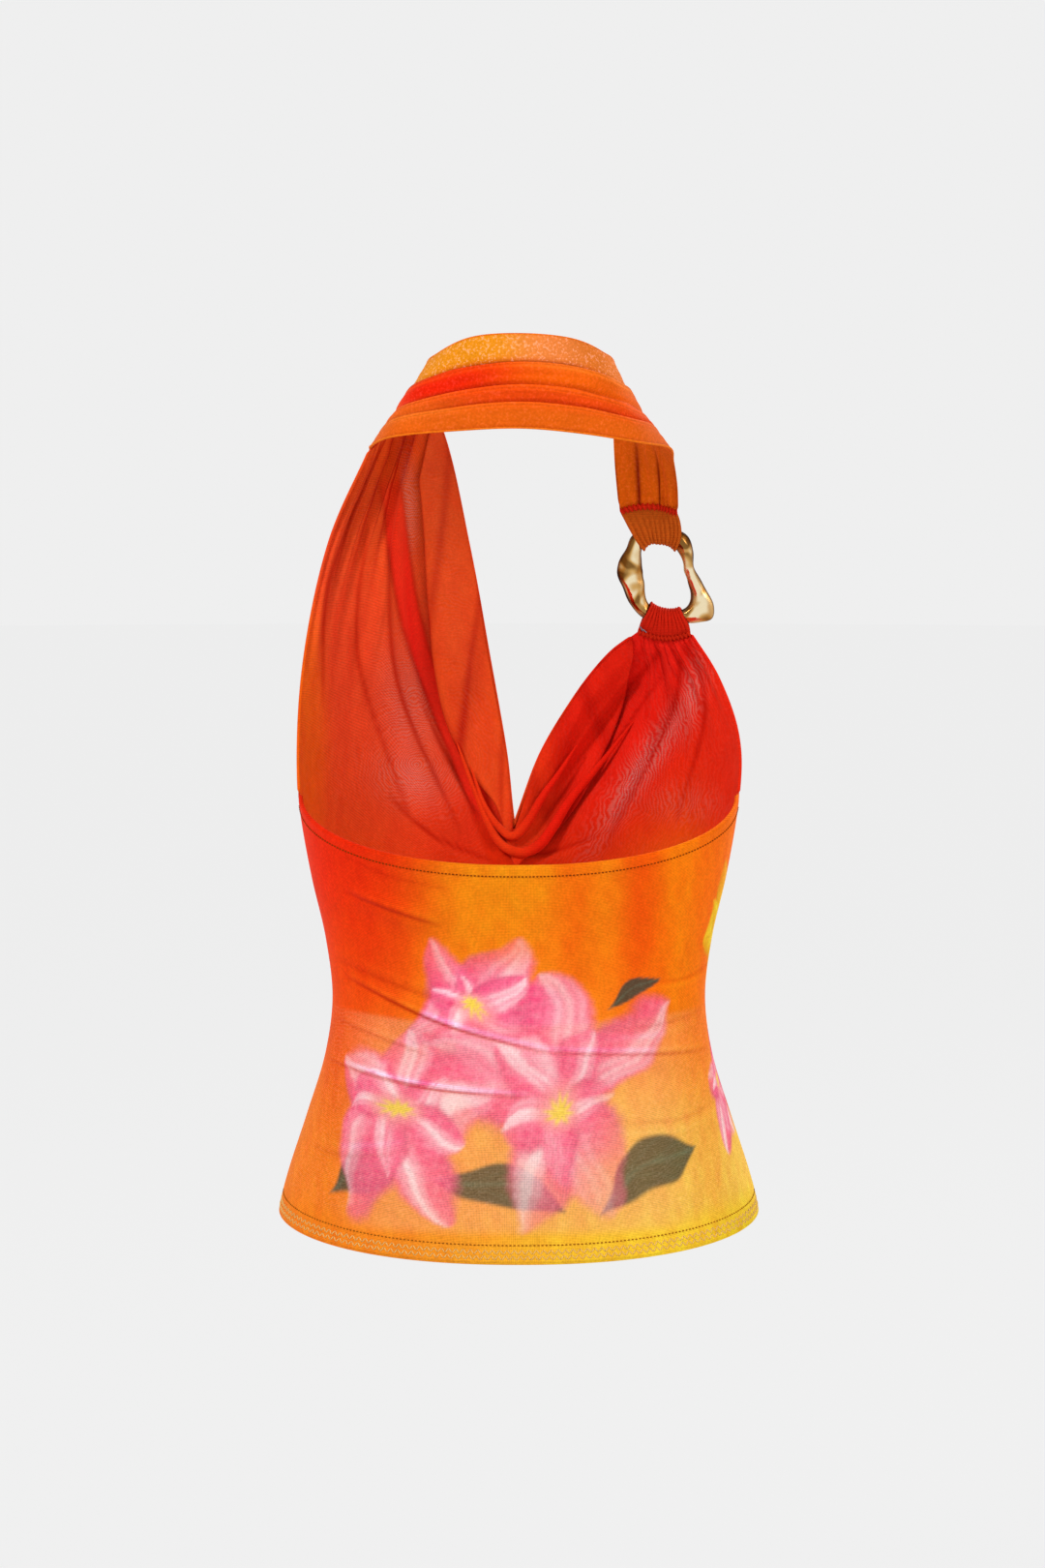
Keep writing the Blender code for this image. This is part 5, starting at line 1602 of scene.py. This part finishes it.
# %% Facing and band
FACING_LEFT = np.array((0.76, 0.014, 0.004))
FACING_RIGHT = np.array((0.76, 0.070, 0.010))
FACING_LOW = np.array((0.72, 0.032, 0.004))


def facing_dye_and_shade(place, u, v):
    """Red on one side of the neckline's point and orange on the other, with painted shade in a few folds and
    along the free edge.
    """
    deep = mix(FACING_LEFT, FACING_RIGHT, ease(0.46, 0.56, u)[..., None])
    low = ease(0.40, 0.47, u) * (1 - ease(0.49, 0.53, u))
    deep = mix(deep, FACING_LOW, low[..., None])
    # Painted shade in a few soft folds and along the free edge.
    folds = 0.5 * np.clip(np.sin(70 * u + 2 * v), 0, 1) ** 5 + 0.4 * np.clip(np.sin(31 * u + 1), 0, 1) ** 6
    return with_painted_shade(mottled(deep, place[..., 0], place[..., 2]), folds + 0.5 * ease(0.93, 1.0, v))


def facing_sheer(place, u, v):
    return 0.04 + 0.30 * v * (1 - v) * ease(0.5, 0.7, u)


def band_sheer(place, u, v):
    """Only the highest tier is sheer, and not on the strap."""
    return 0.05 + 0.55 * (1 - ease(0.26, 0.32, v)) * (1 - ease(0.66, 0.74, u))


facing = sheet_piece(
    "cowl_facing_cloth", 200, 28,
    lambda u, v: facing_cloth(along_facing(u), v), (0.34, 0.07),
    lambda bent, u, v: facing_dye_and_shade(bent, along_facing(u), v), facing_sheer, FRONT_MESH, "front_mesh",
)
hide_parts("cowl_facing")
ACROSS_BAND = band_rows()
band = sheet_piece(
    "neck_band_cloth", 300, len(ACROSS_BAND) - 1, band_cloth, (0.43, 0.085),
    lambda bent, u, v: band_dye_and_shade(u, v), band_sheer, BAND_MESH, "band_mesh",
    shell=0.0007, v_places=ACROSS_BAND,
)
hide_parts("neck_band")

# %% [markdown]
# Turned allowances lie inside the edges, one layer in. They are sheets on the panels' own forms. A look
# holds what every small piece needs: its dye, its material and its slot.

# %% Turnings
TOP_TURNING = 0.0070
HEM_TURNING = 0.0135
BODY_HEIGHT = UNDERARM_HEIGHT - HEM_HEIGHT
HEM_SHARE = HEM_TURNING / BODY_HEIGHT
TOP_SHARE = TOP_TURNING / (BODY_HEIGHT - BACK_TOP_DIP / 2)
Look = namedtuple("Look", "dye material slot")
BACK_LOOK = Look(back_dye_and_shade, BACK_MESH, "back_mesh")
FRONT_LOOK = Look(front_dye_and_shade, FRONT_MESH, "front_mesh")


def turning(cloth, edge_row, depth_row):
    """A turned allowance: the panel's own form, one layer further in."""
    def place(u, v):
        trim = mix(0.006, 0.994, u)
        return cloth(trim, mix(edge_row, depth_row, v), -LAYER_STEP - 0.0002)

    return place


TURNINGS = (
    ("back_top_turn", "back_top_turning", back_cloth, 0.998, 1 - TOP_SHARE, BACK_LOOK),
    ("back_hem_turn", "back_hem_turning", back_cloth, 0.002, HEM_SHARE, BACK_LOOK),
    ("front_hem_turn", "front_hem_turning", front_cloth, 0.002, HEM_SHARE * CHEST_LINE_ROW, FRONT_LOOK),
)
for name, node, cloth, edge_row, depth_row, look in TURNINGS:
    sheet_piece(
        name, 200, 5, turning(cloth, edge_row, depth_row), (0.37, 0.013),
        lambda bent, u, v, look=look: look.dye(bent), lambda bent, u, v: np.zeros_like(u),
        look.material, look.slot,
    )
    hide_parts(node)

# %% [markdown]
# Tubes make the rolled edges, the seams and the thread ends. A tube is a grid wrapped round a line, so
# it is closed and needs no Solidify. The grid is merged along its join, and its normals are then made to
# point outwards.

# %% Tubes
MERGE_DISTANCE = 1e-6
THREAD_DYE = (0.5, 0.5, 0.5)


def plain_dye(*colour):
    return lambda places: np.ones((len(places), 3)) * colour


def thread_look(material, slot):
    """Thread has its colour in its material, so its dye is a plain grey that nothing reads."""
    return Look(plain_dye(*THREAD_DYE), material, slot)


def read_rows(at, knots, rows):
    """Each column of the rows, read between its knots."""
    return np.stack([np.interp(at, knots, column) for column in np.transpose(rows)], axis=-1)


def closed_piece(name, grid, places, look):
    """A grid wrapped into a closed surface, with its dye laid by place."""
    bend_grid(grid, places)
    bmesh.ops.remove_doubles(grid, verts=grid.verts[:], dist=MERGE_DISTANCE)
    bmesh.ops.recalc_face_normals(grid, faces=grid.faces[:])
    mesh = mesh_from(grid, name, look.material)
    kept = np.array([vert.co[:] for vert in mesh.vertices])
    paint(mesh, kept, kept[:, [0, 2]], look.dye(kept), 0.0)
    return link_piece(mesh, name)


def tube_places(u, t, line, radius, inside, wrap, turns):
    """A round tube along a line. The wrap makes it swell along a twist, as whipped thread does."""
    forward = unit(np.gradient(line, axis=0))
    side = unit(np.cross(forward, np.broadcast_to(np.asarray(inside, float), line.shape)))
    knots = np.linspace(0, 1, len(line))
    middle, over, up = (read_rows(u, knots, rows) for rows in (line, side, np.cross(side, forward)))
    around = 2 * math.pi * t
    end = np.clip(np.minimum(u, 1 - u) * len(line) / 2, 0, 1) ** 0.5
    swell = 1 + wrap * np.sin(2 * math.pi * turns * u + around)
    reach = (np.interp(u, knots, np.broadcast_to(radius, len(line))) * end * swell)[..., None]
    return middle + over * reach * np.cos(around)[..., None] + up * reach * np.sin(around)[..., None]


def tube_piece(name, line, radius, look, inside=(0, 1, 0), wrap=0.0, turns=0, around=8):
    tube, u, t = grid_places(len(line) - 1, around)
    obj = closed_piece(name, tube, tube_places(u, t, line, radius, inside, wrap, turns), look)
    print(name, "length, mm:", round(1000 * float(np.linalg.norm(np.diff(line, axis=0), axis=1).sum())))
    return obj


print("tubes merge within, mm:", 1000 * MERGE_DISTANCE)

# %% [markdown]
# A turned edge is a fold, not a cut, so a soft roll joins each panel to its turning. The roll is a thin
# tube along the edge, in the cloth's own dye.

# %% Rolled edges
EDGE = np.linspace(0, 1, 161)
FIRST, LAST = np.zeros_like(EDGE), np.ones_like(EDGE)
HALF_LAYER = LAYER_STEP / 2
HEM_RUN = mix(0.004, 0.996, EDGE)
BAND_RUN = mix(0.004, 0.990, EDGE)
NECK_RUN = along_facing(EDGE)
ARMHOLE_RUN = mix(CHEST_LINE_ROW, 0.998, EDGE)
AT_POINT = 1 - ease(0.0, 0.05, np.abs(NECK_RUN - POINT_ALONG))


def neckline_dye_and_shade(places):
    """The facing's dye with its painted fold shade, found by how far to the side a place lies."""
    return facing_dye_and_shade(places, np.interp(places[:, 0], (-0.06, 0.08), (0.77, 0.29)), 0)


def band_edge_dye(places):
    """Brighter on the shoulders and darker down the strap."""
    on_strap = ease(-0.040, -0.055, places[:, 2])[:, None]
    return mix(np.array((0.80, 0.16, 0.006)), np.array((0.50, 0.075, 0.002)), on_strap)


NECKLINE_LOOK = Look(neckline_dye_and_shade, FRONT_MESH, "front_mesh")
BAND_LOOK = Look(band_edge_dye, BAND_MESH, "band_mesh")
ROLLS = (
    ("back_top_roll", back_cloth(HEM_RUN, LAST, -HALF_LAYER), 0.00125, BACK_LOOK),
    ("back_hem_roll", back_cloth(HEM_RUN, FIRST, -HALF_LAYER), 0.00125, BACK_LOOK),
    ("front_hem_roll", front_cloth(HEM_RUN, FIRST, -HALF_LAYER), 0.00125, FRONT_LOOK),
    ("neckline_roll", front_cloth(NECK_RUN, 0.999 - 0.012 * AT_POINT, -HALF_LAYER), 0.00125, NECKLINE_LOOK),
    ("left_armhole_roll", front_cloth(LAST, ARMHOLE_RUN), 0.00100, FRONT_LOOK),
    ("right_armhole_roll", front_cloth(FIRST, ARMHOLE_RUN), 0.00100, FRONT_LOOK),
    ("band_lower_roll", band_cloth(BAND_RUN, LAST), 0.00070, BAND_LOOK),
    ("band_neck_roll", band_cloth(BAND_RUN, FIRST), 0.00055, BAND_LOOK),
)
rolls = {name: tube_piece(name, line, radius, look) for name, line, radius, look in ROLLS}

# %% [markdown]
# Below the neckline's point the spare cloth of a cowl hangs in rounds, one inside the other. Each round
# is a soft roll of cloth that grows out of the flat cloth at one side, sags and sinks back into it at
# the other. Two rolls are made as tubes that taper to nothing at both ends.

# %% Cowl rolls
RollPoint = namedtuple("RollPoint", "x z")
UPPER_ROUND = (
    RollPoint(-0.0330, -0.2520), RollPoint(-0.0233, -0.2788), RollPoint(-0.0125, -0.2945),
    RollPoint(-0.0035, -0.2992), RollPoint(0.0060, -0.2900), RollPoint(0.0150, -0.2750),
    RollPoint(0.0270, -0.2580), RollPoint(0.0400, -0.2380),
)
LOWER_ROUND = (
    RollPoint(-0.0420, -0.2370), RollPoint(-0.0300, -0.2690), RollPoint(-0.0150, -0.3010),
    RollPoint(-0.0010, -0.3100), RollPoint(0.0120, -0.3065), RollPoint(0.0220, -0.2950),
    RollPoint(0.0350, -0.2750), RollPoint(0.0560, -0.2500), RollPoint(0.0790, -0.2200),
)


def cowl_dye(places):
    right = ease(-0.01, 0.02, places[:, 0])[:, None]
    deep = mix(np.array((0.74, 0.040, 0.006)), np.array((0.72, 0.012, 0.004)), right)
    return mottled(deep, places[:, 0], places[:, 2])


def cowl_roll(name, points, radius, stand_off):
    """A soft roll through the points, thickest in the middle and sunk into the cloth at its ends."""
    run = np.linspace(0, 1, 97)
    path = smooth_rows(np.linspace(0, 1, len(points)), [(p.x, p.z) for p in points], run)
    depth = figure_front(path[:, 0], path[:, 1]) - stand_off
    taper = arch(run, 0.9)
    line = np.stack([path[:, 0], depth + 0.6 * radius * (1 - taper), path[:, 1]], axis=-1)
    look = Look(cowl_dye, FRONT_MESH, "front_mesh")
    return tube_piece(name, line, radius * (0.12 + 0.88 * taper), look, around=20)


rolls["upper_cowl_roll"] = cowl_roll("upper_cowl_roll", UPPER_ROUND, 0.0030, 0.0075)
rolls["lower_cowl_roll"] = cowl_roll("lower_cowl_roll", LOWER_ROUND, 0.0036, 0.0055)

# %% [markdown]
# The loops and the ring are closed surfaces like the tubes, and are made the same way.

# %% Loops and ring
def ring_side_tone(places):
    """Brown on the bar's sides and clear on its faces."""
    away = places - RING_CENTRE
    middle, _, outwards, _, half_depth = ring_bar(np.degrees(np.arctan2(away @ RING_UP, away[:, 0])) % 360)
    face = np.abs((places - middle) @ outwards) / half_depth
    amber = mix(np.array((0.16, 0.08, 0.05)), np.array((0.72, 0.52, 0.30)), ease(0.25, 0.60, face)[:, None])
    return mix(amber, np.ones(3), ease(0.70, 0.98, face)[:, None])


def wrapped_piece(name, around, section, place, look):
    """A surface that closes both ways."""
    wrapped, u, t = grid_places(around, section)
    obj = closed_piece(name, wrapped, place(u, t), look)
    print(name, "faces:", len(obj.data.polygons))
    return obj


upper_loop = wrapped_piece(
    "upper_loop_cloth", LOOP_AROUND, 48,
    loop_surface(UPPER_LOOP_ANGLES, upper_seam, 11, 0.0008),
    Look(plain_dye(0.50, 0.085, 0.006), BAND_MESH, "band_mesh"),
)
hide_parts("upper_loop")
lower_loop = wrapped_piece(
    "lower_loop_cloth", LOOP_AROUND, 48,
    loop_surface(LOWER_LOOP_ANGLES, lower_seam, 12, 0.0008),
    Look(plain_dye(0.62, 0.016, 0.005), FRONT_MESH, "front_mesh"),
)
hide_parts("lower_loop")
ring = wrapped_piece("cast_ring", 280, 40, ring_surface, Look(ring_side_tone, GOLD, "gold_metal"))
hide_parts("ring")

# %% [markdown]
# An overlocked seam is a thick bead of thread whipped round the raw edges. A tube whose swelling twists
# along it reads as that bead.

# %% Seams
ALONG = np.linspace(0.0, 1.0, 121)
SEAM_END = np.ones_like(ALONG)
upper_line = upper_seam(ALONG)
upper_line = upper_line + unit(upper_line - band_form(0.97 * SEAM_END, ALONG)) * 0.0002
shoulder_line = front_cloth(mix(SHOULDER_GATHER_START, 1.0, ALONG), 0.999 * SEAM_END, 0.0004)
OVERLOCKS = (
    ("upper_overlock", upper_line + (0, -0.0030, 0), 0.00175, 0.42, 15, "band_mesh"),
    ("lower_overlock", lower_seam(ALONG) + (0, -0.0026, 0), 0.00155, 0.42, 14, "front_mesh"),
    ("shoulder_overlock", shoulder_line, 0.00110, 0.28, 30, "band_mesh"),
)
for name, line, radius, wrap, turns, slot in OVERLOCKS:
    tube_piece(name, line, radius, thread_look(RED_THREAD, slot), wrap=wrap, turns=turns, around=12)
side_run = mix(0.004, 0.996, ALONG)
for name, side in (("left_side_seam", 0.0), ("right_side_seam", 1.0)):
    tube_piece(name, back_cloth(side * SEAM_END, side_run), 0.00080, BACK_LOOK, inside=(1, 0, 0))

# %% [markdown]
# Single stitches are tiny beads of thread, laid nose to tail along a row of the cloth. A zigzag is a row
# of longer beads that lean forwards and backwards in turn.

# %% Stitches
Stitch = namedtuple("Stitch", "spacing length thickness lean material")
TOP_STITCH = Stitch(0.0023, 0.0018, 0.00105, 0.0, BROWN_THREAD)
HEM_STITCH = Stitch(0.0025, 0.0018, 0.00100, 0.0, HEM_THREAD)
ZIGZAG = Stitch(0.0023, 0.0042, 0.00080, 0.95, PALE_THREAD)
STITCH_STAND_OFF = 0.00055


def lay_bead(stitches, stitch, middle, run, up, lean):
    """One long bead of thread that lies on the cloth and leans by an angle."""
    over = np.cross(up, run)
    c, s = math.cos(lean), math.sin(lean)
    run, over = run * c + over * s, over * c - run * s
    half_length, half_thickness = stitch.length / 2, stitch.thickness / 2
    for vert in bmesh.ops.create_icosphere(stitches, subdivisions=1, radius=1.0)["verts"]:
        x, y, z = vert.co
        vert.co = middle + run * x * half_length + (over * y + up * z) * half_thickness


def stitch_row(name, stitch, cloth, form, v):
    """A row of stitches across a panel, with every other one leaning back."""
    across = mix(0.004, 0.996, np.linspace(0, 1, 241))
    at = np.full_like(across, v)
    line, outwards = cloth(across, at, STITCH_STAND_OFF), facing_outwards(form, across, at)
    steps = np.concatenate([[0], np.cumsum(np.linalg.norm(np.diff(line, axis=0), axis=1))])
    stations = np.arange(stitch.spacing, steps[-1] - stitch.spacing, stitch.spacing)
    stitches = bmesh.new()
    for number, station in enumerate(stations):
        middle, ahead = (read_rows(s, steps, line) for s in (station, station + 1e-4))
        up = unit(read_rows(station, steps, outwards))
        lean = stitch.lean if number % 2 else -stitch.lean
        lay_bead(stitches, stitch, middle, unit(ahead - middle), up, lean)
    print(name, "stitches:", len(stations))
    return link_piece(mesh_from(stitches, name, stitch.material), name)


stitch_row("back_top_stitches", TOP_STITCH, back_cloth, back_form, 1 - TOP_SHARE * 0.86)
HEM_ROW = HEM_SHARE * 0.90
HEMS = (
    ("back_hem", back_cloth, back_form, HEM_ROW, "back_mesh"),
    ("front_hem", front_cloth, front_form, HEM_ROW * CHEST_LINE_ROW, "front_mesh"),
)
for name, cloth, form, v, slot in HEMS:
    stitch_row(name + "_stitches", HEM_STITCH, cloth, form, v)
    for height, part in (("low", 0.30), ("high", 0.62)):
        stitch_row(name + "_zigzag_" + height, ZIGZAG, cloth, form, v * part)

# %% [markdown]
# A few thread ends were left at the lower loop's seam. Each is a short, curling tube.

# %% Thread ends
ThreadEnd = namedtuple("ThreadEnd", "name x z run fall")
THREAD_ENDS = (
    ThreadEnd("thread_end_one", 0.0795, -0.1580, 0.0035, -0.0060),
    ThreadEnd("thread_end_two", 0.0815, -0.1600, 0.0045, -0.0045),
)
THREAD_END_DEPTH = 0.1275
for end in THREAD_ENDS:
    t = np.linspace(0, 1, 17)
    depth = THREAD_END_DEPTH - 0.0008 * np.sin(5 * t)
    curl = np.stack([end.x + end.run * t, depth, end.z + end.fall * t**1.4], axis=-1)
    tube_piece(end.name, curl, 0.00030, thread_look(GREY_THREAD, "front_mesh"), around=6)

# %% [markdown]

print("all pieces built")
